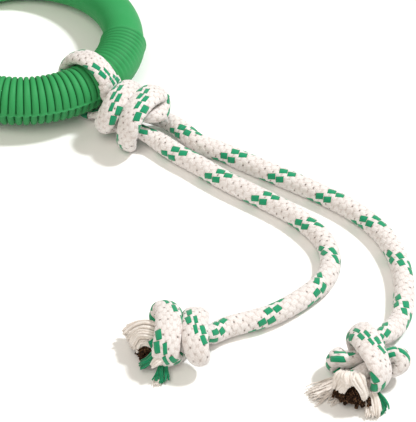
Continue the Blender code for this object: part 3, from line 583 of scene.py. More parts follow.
@dataclass(frozen=True)
class BraidFinish:
    """Off-white plaited sheath with two green tracer carriers side by side.

    The piece's own map holds the place along the rope in carriers' crossings, and the place round it in the
    same. Dirt with painted shade, dark green and height are each a sum of shares, named by where they lie: at a
    float's end or side, on its yarns, or in the speckle, clouds and flecks over all. The speckle and clouds are
    dirt; the darkening at the floats' ends and sides, between the yarns and in the flecks is painted shade.
    """

    cream: Colour = (0.822, 0.790, 0.780, 1.0)
    # the colour of both the dirt and the painted shade on the cream
    shade: Colour = (0.560, 0.470, 0.430, 1.0)
    tracer: Colour = (0.007, 0.300, 0.138, 1.0)
    # painted shade on the green carriers
    tracer_shade: Colour = (0.002, 0.150, 0.060, 1.0)
    # pinholes: the dark core showing through, with painted shade in the hole
    pinhole: Colour = (0.110, 0.085, 0.075, 1.0)
    tracers: int = 2
    tracer_fullness: float = 0.14
    yarns_per_carrier: int = 3
    speckle: Grain = Grain(1500.0, 3.0, 0.7)
    cloud: Grain = Grain(160.0)
    fleck: Grain = Grain(3200.0, 2.0, 0.7)
    fleck_edges: tuple[float, float] = (0.56, 0.66)
    speckle_soil: Share = Share(0.46, 0.72, 0.45)
    cloud_soil: Share = Share(0.35, 0.70, 0.16)
    # painted shade: between yarns, at the floats' ends where they dive under, at their sides and in fine flecks
    yarn_gap_shade: float = 0.10
    float_end_shade: Share = Share(0.70, 1.00, 0.34)
    float_side_shade: Share = Share(0.76, 1.00, 0.30)
    fleck_shade: float = 0.36
    # painted shade on the green: at the floats' ends, between yarns and in flecks
    end_tracer_shade: Share = Share(0.78, 1.00, 0.6)
    yarn_dark: float = 0.28
    fleck_tracer_shade: float = 0.18
    end_edges: tuple[float, float] = (0.62, 1.00)
    middle_height: float = 0.6
    yarn_height: float = 0.22
    speckle_height: float = 0.35
    side_depth: Share = Share(0.78, 1.00, 0.30)
    relief: tuple[float, float] = (0.55, 0.0005)
    pinhole_edges: tuple[float, float] = (0.06, 0.19)
    pinhole_chance: Share = Share(0.50, 0.95, 0.86)
    faintest_pinhole: float = 0.06
    turns_added: float = 600.0

    def make(self) -> bpy.types.Material:
        """Build the material.

        Returns:
            The rope's material.
        """
        nodes = Nodes("braided_rope_look")
        along, around = nodes.own_map()
        left_side, left_end = FLOATS.left(along, around)
        right_side, right_end = FLOATS.right(along, around)
        green = self.carrier(along, around) < self.tracers - 0.5
        left_over = (abs(left_side) < green * self.tracer_fullness + 1.0) * (left_end < 1.0)
        across = self.pick(left_over, right_side, left_side)
        side, end = abs(across), self.pick(left_over, right_end, left_end)
        speckle, fleck = nodes.noise(self.speckle), nodes.noise(self.fleck).ramp(*self.fleck_edges)
        yarns = (nodes.math("SINE", across * (math.pi * self.yarns_per_carrier)) + 1.0) * 0.5
        # dirt from speckle and clouds, with painted shade at float ends and sides, yarn gaps and flecks
        soil_and_shade = (self.speckle_soil.of(speckle) + self.cloud_soil.of(nodes.noise(self.cloud))
                + yarns * self.yarn_gap_shade + self.float_end_shade.of(end) + self.float_side_shade.of(side)
                + fleck * self.fleck_shade).clamped()
        # painted shade on the green floats
        dark = (self.end_tracer_shade.of(end) + yarns * self.yarn_dark + fleck * self.fleck_tracer_shade).clamped()
        colour = nodes.mix(green * left_over, nodes.mix(soil_and_shade, self.cream, self.shade),
                           nodes.mix(dark, self.tracer, self.tracer_shade))
        # dark pinholes: the core showing through and painted shade in the hole
        colour = nodes.mix(self.pinholes(along, around), colour, self.pinhole)
        height = ((1.0 - end.ramp(*self.end_edges)) * self.middle_height + yarns * self.yarn_height
                  + speckle * self.speckle_height - self.side_depth.of(side))
        return nodes.finish({"Base Color": colour, "Roughness": 0.92, "Specular IOR Level": 0.12,
                             "Sheen Weight": 0.25, "Sheen Roughness": 0.6}, height, self.relief)

    def carrier(self, along: Signal, around: Signal) -> Signal:
        """Number of the left-hand carrier at a place, from 0. Enough whole turns are added to stay above 0.

        Args:
            along: Place along the rope, in crossings.
            around: Place round the rope, in crossings.

        Returns:
            The number.
        """
        middle = (along - FLOATS.off_middle(along, 0.0)) + (around - FLOATS.off_middle(around, 1.0))
        number = ((middle - 1.0) * 0.5).round() + self.turns_added * CARRIERS
        return along.nodes.math("MODULO", number, float(CARRIERS))

    @staticmethod
    def pick(choice: Signal, no: Signal, yes: Signal) -> Signal:
        """Take one of two values by a choice of 0 or 1."""
        return no * (1.0 - choice) + yes * choice

    def pinholes(self, along: Signal, around: Signal) -> Signal:
        """Dark points at the corners where four carriers meet, some deep and most faint.

        Args:
            along: Place along the rope, in crossings.
            around: Place round the rope, in crossings.

        Returns:
            The share of the dark colour.
        """
        nodes = along.nodes
        left, right = (along + around) * 0.5, (along - around) * 0.5
        left_corner, right_corner = left.round(), right.round()
        left_off, right_off = left - left_corner, right - right_corner
        reach = nodes.math("SQRT", left_off * left_off + right_off * right_off)
        corner = nodes.add("CombineXYZ", {0: left_corner, 1: right_corner})
        chance = nodes.add("TexWhiteNoise", {"Vector": corner}, "Value", noise_dimensions="2D")
        depth = self.pinhole_chance.of(chance) + self.faintest_pinhole
        return (1.0 - reach.ramp(*self.pinhole_edges)) * depth


@dataclass(frozen=True)
class YarnFinish:
    """Loose yarn: matt, uneven from yarn to yarn, and of another colour at its cut ends."""

    name: str
    light: Colour
    dark: Colour
    tip: Colour
    streak_scale: float = 420.0
    fleck: float = 0.0
    sheen: float = 0.3
    streak_edges: tuple[float, float] = (0.32, 0.68)
    fine_edges: tuple[float, float] = (0.40, 0.70)
    fleck_edges: tuple[float, float] = (0.54, 0.62)
    end_edges: tuple[float, float] = (0.90, 0.99)
    streak_dark: float = 0.35
    fine_dark: float = 0.20
    yarn_dark: float = 0.45
    relief: tuple[float, float] = (0.5, 0.0003)

    def make(self) -> bpy.types.Material:
        """Build the material. The piece's own map holds the place along the yarn and a number of its own.

        Returns:
            The yarn's material.
        """
        nodes = Nodes(self.name)
        reach, number = nodes.own_map()
        streak = nodes.noise(Grain(self.streak_scale, 3.0, 0.6)).ramp(*self.streak_edges)
        fine = nodes.noise(Grain(self.streak_scale * 5, 2.0, 0.7)).ramp(*self.fine_edges)
        dark = (streak * self.streak_dark + fine * self.fine_dark + number * self.yarn_dark).clamped()
        ended = reach.ramp(*self.end_edges) * streak
        if self.fleck:
            flecks = nodes.noise(Grain(self.streak_scale * 2, 3.0, 0.7)).ramp(*self.fleck_edges)
            ended = (ended + flecks * self.fleck).clamped()
        colour = nodes.mix(ended, nodes.mix(dark, self.light, self.dark), self.tip)
        return nodes.finish({"Base Color": colour, "Roughness": 0.95, "Specular IOR Level": 0.1,
                             "Sheen Weight": self.sheen}, fine, self.relief)


class Finishes:
    """The materials that the toy's pieces share."""

    def __init__(self) -> None:
        """Build each material once."""
        self.rubber = RubberFinish().make()
        self.braid = BraidFinish().make()
        self.sheath_yarn = YarnFinish("sheath_yarn_look", (0.93, 0.88, 0.84, 1.0), (0.68, 0.60, 0.53, 1.0),
                                      (0.70, 0.64, 0.58, 1.0)).make()
        self.core_yarn = YarnFinish("core_yarn_look", (0.040, 0.019, 0.010, 1.0), (0.003, 0.002, 0.002, 1.0),
                                    (0.340, 0.180, 0.090, 1.0), streak_scale=500.0, fleck=0.50,
                                    sheen=0.0).make()
        self.tracer_yarn = YarnFinish("tracer_yarn_look", (0.010, 0.330, 0.150, 1.0),
                                      (0.003, 0.150, 0.060, 1.0), (0.120, 0.450, 0.260, 1.0)).make()


# Rope


@dataclass
class Braid:
    """Size and lay of the rope's plait."""

    pitch: float = 0.0331
    relief: float = 0.00032
    sides: int = 60
    stations_per_crossing: int = 5
    crown_roundness: float = 0.92
    end_dip: float = 0.42

    @property
    def crossing(self) -> float:
        """Distance along the rope from one crossing of carriers to the next."""
        return self.pitch / (2 * CARRIERS)

    @property
    def step(self) -> float:
        """Distance between the mesh's stations."""
        return self.crossing / self.stations_per_crossing

    def height(self, along: np.ndarray, around: np.ndarray) -> np.ndarray:
        """How far the plait's carriers stand out, from 0 in the valleys to 1 on top.

        Args:
            along: Places along the rope, in crossings.
            around: Places round the rope, in crossings.

        Returns:
            The height at each place.
        """
        left_side, left_end = FLOATS.left(along, around)
        right_side, right_end = FLOATS.right(along, around)
        left_over = np.maximum(abs(left_side), left_end) < 1
        side = np.where(left_over, left_side, right_side)
        end = np.clip(np.where(left_over, left_end, right_end), 0.0, 1.0)
        crown = np.sqrt(np.clip(1 - self.crown_roundness * side ** 2, 0.0, 1.0))
        return crown * (1 - self.end_dip * end ** 2)


@dataclass
class RopeRun:
    """A run of rope: stations with the rope's half thickness and half width, and the way its thin side faces.

    The tracer table says at which places along the rope, and at which angles round it, the green carriers show.
    Their middle is two crossings round from where the carriers are counted.
    """

    stations: np.ndarray
    outward: np.ndarray
    headings: np.ndarray
    tracer: Rows
    braid: Braid
    material: bpy.types.Material
    tracer_middle: float = 2.0
    crowding: float = 0.85
    steep_deg: float = 30.0
    fully_flat: float = 0.3

    def crowded(self, angles: np.ndarray, facing: float, row: int) -> np.ndarray:
        """Angles round the rope as its carriers count them: where it is flattened they crowd on its outer face.

        Args:
            angles: Angles round the rope.
            facing: The angle that the rope's outer face is at.
            row: The station.

        Returns:
            The carriers' angles.
        """
        thin, wide = self.stations[row, 3:5]
        return angles + self.crowding * (1 - thin / wide) * np.sin(angles - facing)

    def lay(self, places: np.ndarray, facings: Sequence[float]) -> np.ndarray:
        """Turn of the braid at each place, in crossings, so that the tracers show where the table says.

        Args:
            places: Places along the rope.
            facings: The angle of the rope's outer face at each.

        Returns:
            The turns.
        """
        turns = []
        for place, angle_deg in self.tracer:
            row = int(np.abs(places - place).argmin())
            angle = float(self.crowded(np.array(math.radians(angle_deg)), facings[row], row))
            turn = self.tracer_middle - place / self.braid.crossing - angle * CARRIERS / math.pi
            if turns:
                turn += 2 * CARRIERS * round((turns[-1] - turn) / (2 * CARRIERS))
            turns.append(turn)
        return np.interp(places, [place for place, _ in self.tracer], turns)

    def frames(self) -> list[tuple[np.ndarray, np.ndarray]]:
        """Two ways square to the rope at each station, turning as little as they can along the run.

        Returns:
            A pair of ways for each station.
        """
        across = np.array((0.0, 0.0, 1.0))
        if abs(self.headings[0][2]) > math.cos(math.radians(self.steep_deg)):
            across = np.array((0.0, 1.0, 0.0))
        pairs = []
        for heading in self.headings:
            across = across - heading * (across @ heading)
            across = across / np.linalg.norm(across)
            pairs.append((across, np.cross(heading, across)))
        return pairs

    def surface(self, swell: tuple[float, float]) -> tuple[np.ndarray, np.ndarray, np.ndarray]:
        """Points of the plaited surface.

        Args:
            swell: How much fuller than its stations the rope is, through and across.

        Returns:
            Points by station and side, places along the rope and places round it, in crossings.
        """
        sides = self.braid.sides
        angles = np.arange(sides + 1) * 2 * math.pi / sides
        places = distances(self.stations)
        along = places / self.braid.crossing
        frames = self.frames()
        widths, facings = [], []
        for heading, out, (across, aside) in zip(self.headings, self.outward, frames):
            out = out - heading * (out @ heading)
            out = out / max(float(np.linalg.norm(out)), SMALL)
            widths.append((out, np.cross(heading, out)))
            facings.append(math.atan2(float(out @ aside), float(out @ across)))
        around = np.array([self.crowded(angles, facing, row) * CARRIERS / math.pi + turn
                           for row, (facing, turn) in enumerate(zip(facings, self.lay(places, facings)))])
        rings = []
        rows = zip(self.stations, widths, frames, along, around)
        for station, (out, width), (across, aside), here, beside in rows:
            spokes = np.cos(angles[:-1])[:, None] * across + np.sin(angles[:-1])[:, None] * aside
            flat = min(1.0, max(0.0, (1 - station[3] / station[4]) / self.fully_flat))
            thin, wide = station[3] + swell[0] * flat, station[4] + swell[1] * flat
            reach = 1 / np.sqrt((spokes @ out / thin) ** 2 + (spokes @ width / wide) ** 2)
            reach = reach - self.braid.relief * (1 - self.braid.height(np.full(sides, here), beside[:-1]))
            rings.append(station[:3] + spokes * reach[:, None])
        return np.array(rings), along, around

    def build(self, name: str, first: int, last: int,
              swell: tuple[float, float] = (0.0, 0.0)) -> bpy.types.Object:
        """Make the mesh of one stretch, closed at both ends, with its own map.

        Args:
            name: The piece's name.
            first: The stretch's first station.
            last: The stretch's last station.
            swell: How much fuller than its stations the rope is, through and across.

        Returns:
            The piece.
        """
        rings, along, around = (table[first:last + 1] for table in self.surface(swell))
        rings[..., 2] = np.maximum(rings[..., 2], 0.0)
        count, sides = rings.shape[:2]
        grid = np.arange(count * sides).reshape(count, sides)
        here, beyond = grid[:-1], grid[1:]
        quads = np.stack((here, np.roll(here, -1, 1), np.roll(beyond, -1, 1), beyond), axis=-1).reshape(-1, 4)
        ahead = np.broadcast_to(along[1:, None], (count - 1, sides))
        behind = np.broadcast_to(along[:-1, None], (count - 1, sides))
        layer = np.stack((np.stack((behind, around[:-1, :-1]), -1), np.stack((behind, around[:-1, 1:]), -1),
                          np.stack((ahead, around[1:, 1:]), -1), np.stack((ahead, around[1:, :-1]), -1)), axis=2)
        points = rings.reshape(-1, 3)
        caps, cap_layer = [], []
        for row, turn in ((0, -1), (-1, 1)):
            points = np.vstack((points, rings[row].mean(axis=0)))
            for side in range(sides):
                pair = (int(grid[row, side]), int(grid[row, (side + 1) % sides]))
                caps.append((*pair[::turn], len(points) - 1))
                cap_layer.extend([(along[row], 0.5)] * 3)
        return mesh_object(name, points, quads.tolist() + caps, np.vstack((layer.reshape(-1, 2), cap_layer)),
                           self.material)


def sized(route: Rows, section_shares: Rows) -> np.ndarray:
    """Put beside each place of a route the rope's half thickness and half width there."""
    return np.hstack((np.array(route), np.array(section_shares) * ROPE_RADIUS))


def turn_wraps(stations: np.ndarray) -> np.ndarray:
    """Lay the main knot's wraps askew, and less so towards the ways in and out.

    Args:
        stations: Rows of place and size in the knot's frame.

    Returns:
        The turned rows.
    """
    reaches, shares = zip(*MAIN_KNOT_TURN_SHARES)
    turned_rows = stations.copy()
    for station in turned_rows:
        x, y = station[:2]
        angle = math.radians(MAIN_KNOT_TURN_DEG) * np.interp(x, reaches, shares)
        station[0] = x * math.cos(angle) - y * math.sin(angle)
        station[1] = x * math.sin(angle) + y * math.cos(angle)
    return turned_rows


def outward_from(places: np.ndarray, middle_height: float) -> np.ndarray:
    """Ways out from a knot's middle line.

    Args:
        places: Rows that start with x, y, z.
        middle_height: Height of the middle line.

    Returns:
        One way per row.
    """
    outward = places[:, :3].copy()
    outward[:, 0] = 0.0
    outward[:, 2] -= middle_height
    return outward


@dataclass
class MainKnot:
    """The rope round the ring and both strands of the knot outside it."""

    braid: Braid
    tracer: Rows
    held_margin: int = 8

    def loop_point(self, angle_deg: float, thickness: float, gap: float) -> tuple[float, ...]:
        """Station of the rope where it lies a gap off the ring's tube, in the knot's frame.

        Args:
            angle_deg: Angle round the tube.
            thickness: The rope's thickness there.
            gap: The gap to the ring.

        Returns:
            The station's place, half thickness and half width.
        """
        angle = math.radians(angle_deg)
        reach = RIB_CREST_RADIUS + gap + thickness / 2
        slant = float(np.interp(angle_deg, *zip(*LOOP_SLANTS)))
        return (-RING_STANDOFF + reach * math.cos(angle), slant, LOOP_HEIGHT + reach * math.sin(angle),
                thickness / 2, LOOP_WIDTH / 2)

    def loop_thickness(self, angle_deg: float) -> float:
        """Thickness of the loop, squeezed where the ring lies on it."""
        squeeze = max(0.0, -math.sin(math.radians(angle_deg)))
        return LOOP_TOP_THICKNESS + (LOOP_UNDER_THICKNESS - LOOP_TOP_THICKNESS) * squeeze

    def run(self) -> tuple[np.ndarray, int, int]:
        """Stations from the core strand's exit round the ring to the tying one's, and the loop's two ends.

        Returns:
            The stations, and the row of each end of the loop.
        """
        core = turn_wraps(sized(CORE_ROUTE, CORE_SECTION_SHARES))[::-1]
        tying = turn_wraps(sized(TYING_ROUTE, TYING_SECTION_SHARES))
        loop = []
        for index in range(LOOP_POINTS):
            angle_deg = LOOP_UNDER_DEG + (LOOP_TOP_DEG - LOOP_UNDER_DEG) * index / (LOOP_POINTS - 1)
            loop.append(self.loop_point(angle_deg, self.loop_thickness(angle_deg), CLEARANCE))
        down = [self.loop_point(angle_deg, LOOP_KNOT_THICKNESS, LOOP_KNOT_GAP) for angle_deg in LOOP_DOWN_DEG]
        run = smooth_route(np.vstack((core, loop, down, tying)), self.braid.step)
        under_end, top_end, off_ring = (nearest(run, place) for place in (loop[0], loop[-1], down[-1]))
        on_ring = run[under_end:off_ring + 1].copy()
        run = ease(run, EASE_PASSES)
        margin = self.held_margin
        run[under_end + margin:off_ring + 1 - margin] = on_ring[margin:-margin]
        return ease(run, LAST_EASE_PASSES), under_end, top_end

    def build(self, finishes: Finishes) -> tuple[list[bpy.types.Object], np.ndarray, np.ndarray]:
        """Make the loop and both strands.

        Args:
            finishes: The toy's materials.

        Returns:
            The pieces, the two exits' places and the two exits' ways, the core strand's first.
        """
        run, under_end, top_end = self.run()
        outward = outward_from(run, MAIN_KNOT_MIDDLE_HEIGHT)
        outward[under_end:top_end + 1] = run[under_end:top_end + 1, :3] - (-RING_STANDOFF, 0.0, LOOP_HEIGHT)
        outward[under_end:top_end + 1, 1] = 0.0
        headings = directions(run[:, :3])
        for end in (0, -1):
            headings[end, 2] = 0.0
            headings[end] /= np.linalg.norm(headings[end])
        run[:, :3], outward, headings = (turned(table, (0.0, 0.0), KNOT_HEADING_DEG)
                                         for table in (run[:, :3], outward, headings))
        whole = RopeRun(run, outward, headings, self.tracer, self.braid, finishes.braid)
        pieces = [whole.build("braided_core_strand", 0, under_end),
                  whole.build("braided_loop", under_end, top_end),
                  whole.build("braided_tying_strand", top_end, len(run) - 1, WRAP_SWELL)]
        return pieces, run[[0, -1], :3], np.array((-headings[0], headings[-1]))


@dataclass
class Tail:
    """One of the rope's two free tails, with the knot at its end."""

    letter: str
    route: Rows
    knot_route: Rows
    knot_middle_height: float
    knot_place: tuple[float, float]
    knot_heading_deg: float
    fray_heading_deg: float
    tracer: Rows
    braid: Braid

    def run(self, exit_place: np.ndarray, exit_way: np.ndarray) -> tuple[np.ndarray, int]:
        """Stations of the tail and its knot, and where the knot starts.

        Args:
            exit_place: Where the tail leaves the main knot.
            exit_way: Which way it leaves.

        Returns:
            The stations, and the row where the knot starts.
        """
        floor_part = [(x, y, ROPE_RADIUS, ROPE_RADIUS, ROPE_RADIUS) for x, y in self.route]
        knot = sized(self.knot_route, END_KNOT_SECTION_SHARES)
        knot[:, :3] = turned(knot[:, :3], self.knot_place, self.knot_heading_deg)
        lead = [(*(exit_place + exit_way * reach), ROPE_RADIUS, ROPE_RADIUS)
                for reach in (0.0, ROPE_RADIUS, 2 * ROPE_RADIUS)]
        run = ease(smooth_route(np.vstack((lead, floor_part, knot)), self.braid.step), EASE_PASSES)
        return run, nearest(run, knot[0])

    def build(self, finishes: Finishes, exit_place: np.ndarray,
              exit_way: np.ndarray) -> tuple[bpy.types.Object, bpy.types.Object, np.ndarray]:
        """Make the tail and its knot.

        Args:
            finishes: The toy's materials.
            exit_place: Where the tail leaves the main knot.
            exit_way: Which way it leaves.

        Returns:
            The tail, the knot and the tail's centreline.
        """
        run, split = self.run(exit_place, exit_way)
        local = turned(run[:, :3] - (*self.knot_place, 0.0), (0.0, 0.0), -self.knot_heading_deg)
        outward = outward_from(local, self.knot_middle_height)
        outward[:split + 1] = (0.0, 0.0, 1.0)
        outward = turned(outward, (0.0, 0.0), self.knot_heading_deg)
        headings = directions(run[:, :3])
        headings[0] = exit_way
        headings[-1] = turned(np.array((1.0, 0.0, 0.0)), (0.0, 0.0), self.fray_heading_deg)
        whole = RopeRun(run, outward, headings, self.tracer, self.braid, finishes.braid)
        return (whole.build(f"braided_tail_{self.letter}", 0, split),
                whole.build(f"braided_end_knot_{self.letter}", split, len(run) - 1, WRAP_SWELL),
                run[:split + 1, :3])


# Rubber ring


class Surface(Enum):
    """Kinds of surface round the ring."""

    BOLD = "bold ribs"
    FINE = "fine ribs"
    PLAIN = "plain"


@dataclass
class RubberRing:
    """The ribbed rubber ring, moulded in two halves that meet at a parting line."""

    sides: int = 96
    side_crowding: float = 0.40
    bold_pitch: float = 0.0040
    fine_pitch: float = 0.0032
    bold_length: float = 0.1203
    fine_length: float = 0.0393
    seat_before: float = 0.0028
    seat_after: float = 0.0058
    shoulder: float = 0.0026
    bold_depth: float = 0.0021
    bold_squareness: float = 2.2
    # Painted shade on the bold ribs: in the grooves, a little over the upper half, more over the lower half.
    bold_shade_from: float = 0.60
    bold_upper_shade: float = 0.05
    bold_lower_shade: float = 0.34
    bold_flash_fill: float = 0.75
    # painted highlight: how much paler the parting line is painted among the bold ribs
    bold_flash_highlight: float = 0.45
    lower_deeper: float = 1.25
    half_shift: float = 0.25
    fine_depth: float = 0.00060
    fine_crest_width: float = 0.42
    fine_fade_start: float = 1.02
    fine_fade_length: float = 0.30
    # Painted shade over the whole fine band and in its grooves, and a painted highlight along its crests.
    fine_shade: float = 0.14
    fine_groove_shade: float = 0.30
    fine_crest_highlight: float = 0.26
    # painted shadow: the plain seat under and beside the rope is painted darker
    seat_shade: float = 0.6
    flash: float = 0.00028
    flash_width: float = 0.045
    plain_flash_share: float = 0.35
    rows_per_rib: int = 12
    seat_rows: int = 12
    shoulder_rows: int = 8
    smooth_rows: int = 150
    weld: float = 0.00001

    def matrix(self) -> Matrix:
        """Place of the ring: its own +X points at the rope.

        Returns:
            The ring's place and tilt in the part's frame.
        """
        heading = math.radians(KNOT_HEADING_DEG)
        reach = RING_STANDOFF + RING_RADIUS * math.cos(RING_TILT)
        place = Vector((-reach * math.cos(heading), -reach * math.sin(heading),
                        (LOOP_HEIGHT + SMOOTH_RADIUS) / 2))
        return (Matrix.Translation(place) @ Matrix.Rotation(heading, 4, "Z")
                @ Matrix.Rotation(-RING_TILT, 4, "Y"))

    def rows(self) -> list[tuple[float, Surface]]:
        """Places round the ring, from the far end of the bold band through the rope's seat, and their kinds.

        Returns:
            One place and kind for each row of the mesh.
        """
        bold_rows = round(self.bold_length / self.bold_pitch) * self.rows_per_rib
        fine_rows = round(self.fine_length / self.fine_pitch) * self.rows_per_rib
        bold_end, fine_end = self.seat_before + self.bold_length, self.seat_after + self.fine_length
        start = fine_end + self.shoulder
        last = 2 * math.pi * RING_RADIUS - bold_end - self.shoulder
        bands = (
            (-bold_end, self.bold_length, bold_rows, 0, bold_rows, Surface.BOLD),
            (-self.seat_before, self.seat_before + self.seat_after, self.seat_rows, 0, self.seat_rows,
             Surface.PLAIN),
            (self.seat_after, self.fine_length, fine_rows, 0, fine_rows + 1, Surface.FINE),
            (fine_end, self.shoulder, self.shoulder_rows, 1, self.shoulder_rows + 1, Surface.PLAIN),
            (start, last - start, self.smooth_rows, 1, self.smooth_rows + 1, Surface.PLAIN),
            (last, self.shoulder, self.shoulder_rows, 1, self.shoulder_rows, Surface.PLAIN),
        )
        return [(place + length * index / parts, kind) for place, length, parts, first, end, kind in bands
                for index in range(first, end)]

    def side_angles(self) -> np.ndarray:
        """Angles round the tube, 0 at its outer edge, closer together at the parting line on both sides."""
        even = np.arange(self.sides) * 2 * math.pi / self.sides
        return even - self.side_crowding * np.sin(2 * even)

    def bold_drop(self, place: float, angles: np.ndarray) -> tuple[np.ndarray, np.ndarray]:
        """Depth below the crests among the bold ribs, and the painted shade: in the grooves, more on the lower
        half.

        Args:
            place: Distance round the ring from the rope's seat.
            angles: Angles round the tube.

        Returns:
            The depth and the share of painted shade at each angle.
        """
        pitch = self.bold_length / round(self.bold_length / self.bold_pitch)
        upper = np.sin(angles) >= 0
        phase = (-place - self.seat_before) / pitch - np.where(upper, 0.0, self.half_shift)
        off = np.abs((phase % 1.0) * 2 - 1)
        round_off = 1 - (1 - off ** self.bold_squareness) ** (1 / self.bold_squareness)
        drop = self.bold_depth * round_off * np.where(upper, 1.0, self.lower_deeper)
        # painted shade in the grooves, and more over the lower half
        shade = np.clip((off - self.bold_shade_from) / (1 - self.bold_shade_from), 0.0, 1.0) ** 2
        return drop, np.maximum(shade, np.where(upper, self.bold_upper_shade, self.bold_lower_shade))

    def fine_drop(self, place: float, angles: np.ndarray) -> tuple[np.ndarray, np.ndarray]:
        """Depth below the crests among the fine ribs, which fade out towards the ring's outer edge.

        Args:
            place: Distance round the ring from the rope's seat.
            angles: Angles round the tube.

        Returns:
            The depth and the share of painted shade at each angle, below 0 where a crest has a painted
            highlight.
        """
        pitch = self.fine_length / round(self.fine_length / self.fine_pitch)
        off = abs(((place - self.seat_after) / pitch) % 1.0 * 2 - 1)
        crest = math.exp(-((1 - off) / self.fine_crest_width) ** 2)
        fade = np.clip((self.fine_fade_start - np.cos(angles)) / self.fine_fade_length, 0.0, 1.0)
        drop = self.fine_depth * (1 - crest * fade)
        # painted shade over the band and in its grooves, less a painted highlight on the crests
        return drop, (self.fine_shade + self.fine_groove_shade * (1 - crest) * fade
                      - self.fine_crest_highlight * crest * fade)

    def shoulder_drop(self, place: float) -> float:
        """Depth below the crests where a band steps down to the smooth stretch, and along that stretch.

        Args:
            place: Distance round the ring from the rope's seat.

        Returns:
            The depth.
        """
        around = 2 * math.pi * RING_RADIUS
        past = min(place - self.seat_after - self.fine_length,
                   around - self.seat_before - self.bold_length - place)
        share = min(1.0, max(0.0, past / self.shoulder))
        return (RIB_CREST_RADIUS - SMOOTH_RADIUS) * share * share * (3 - 2 * share)

    def shape(self) -> tuple[np.ndarray, np.ndarray]:
        """Points of the ring row by row, and the share of painted shade at each, first row and side repeated.

        Returns:
            The points in the ring's own frame, and the share of painted shade at each.
        """
        angles = self.side_angles()
        ridge = np.exp(-(np.sin(angles) / self.flash_width) ** 2)
        points, painted_shade = [], []
        for place, kind in self.rows():
            flash_share, fill, pale = self.plain_flash_share, 0.0, 0.0
            if kind is Surface.BOLD:
                drop, depth = self.bold_drop(place, angles)
                flash_share, fill, pale = 1.0, self.bold_flash_fill, self.bold_flash_highlight
            elif kind is Surface.FINE:
                drop, depth = self.fine_drop(place, angles)
            else:
                past_seat = place > self.seat_after
                drop = np.full(self.sides, self.shoulder_drop(place) if past_seat else 0.0)
                # painted shadow on the rope's seat, none on the smooth stretch
                depth = np.full(self.sides, 0.0 if past_seat else self.seat_shade)
            level = RIB_CREST_RADIUS - drop * (1 - fill * ridge)
            radius = level + self.flash * ridge * flash_share
            reach = RING_RADIUS + radius * np.cos(angles)
            turn = place / RING_RADIUS
            points.append(np.stack((reach * math.cos(turn), reach * math.sin(turn),
                                    radius * np.sin(angles)), axis=1))
            # painted shade, less a painted highlight along the parting line
            painted_shade.append((depth * (1 - ridge) - pale * ridge)[:, None])
        tables = (np.array(table + table[:1]) for table in (points, painted_shade))
        places, painted_shade = (np.concatenate((table, table[:, :1]), axis=1) for table in tables)
        return places.reshape(-1, 3), painted_shade.ravel()

    def build(self, finishes: Finishes) -> bpy.types.Object:
        """Make the ring from a flat sheet, rolled into the ribbed tube and round, with its seams welded.

        Args:
            finishes: The toy's materials.

        Returns:
            The ring.
        """
        places, painted_shade = self.shape()
        matrix = np.array(self.matrix())
        deselect_all()
        bpy.ops.mesh.primitive_grid_add(x_subdivisions=self.sides, y_subdivisions=len(self.rows()), size=1.0,
                                        calc_uvs=False)
        ring = bpy.context.object
        ring.name = "moulded_ring"
        mesh = ring.data
        mesh.vertices.foreach_set("co", (places @ matrix[:3, :3].T + matrix[:3, 3]).ravel())
        corners = np.empty(len(mesh.loops), dtype=int)
        mesh.loops.foreach_get("vertex_index", corners)
        # the own map carries the painted shade and highlight to the rubber
        layer = np.stack((painted_shade[corners], painted_shade[corners]), axis=1).astype(np.float32)
        mesh.uv_layers.new(name=OWN_MAP).data.foreach_set("uv", layer.ravel())
        bpy.ops.object.mode_set(mode="EDIT")
        bpy.ops.mesh.select_all(action="SELECT")
        bpy.ops.mesh.remove_doubles(threshold=self.weld)
        bpy.ops.mesh.normals_make_consistent(inside=False)
        bpy.ops.object.mode_set(mode="OBJECT")
        ring.data.shade_smooth()
        ring.data.update()
        ring.data.materials.append(finishes.rubber)
        return ring


# Frayed ends


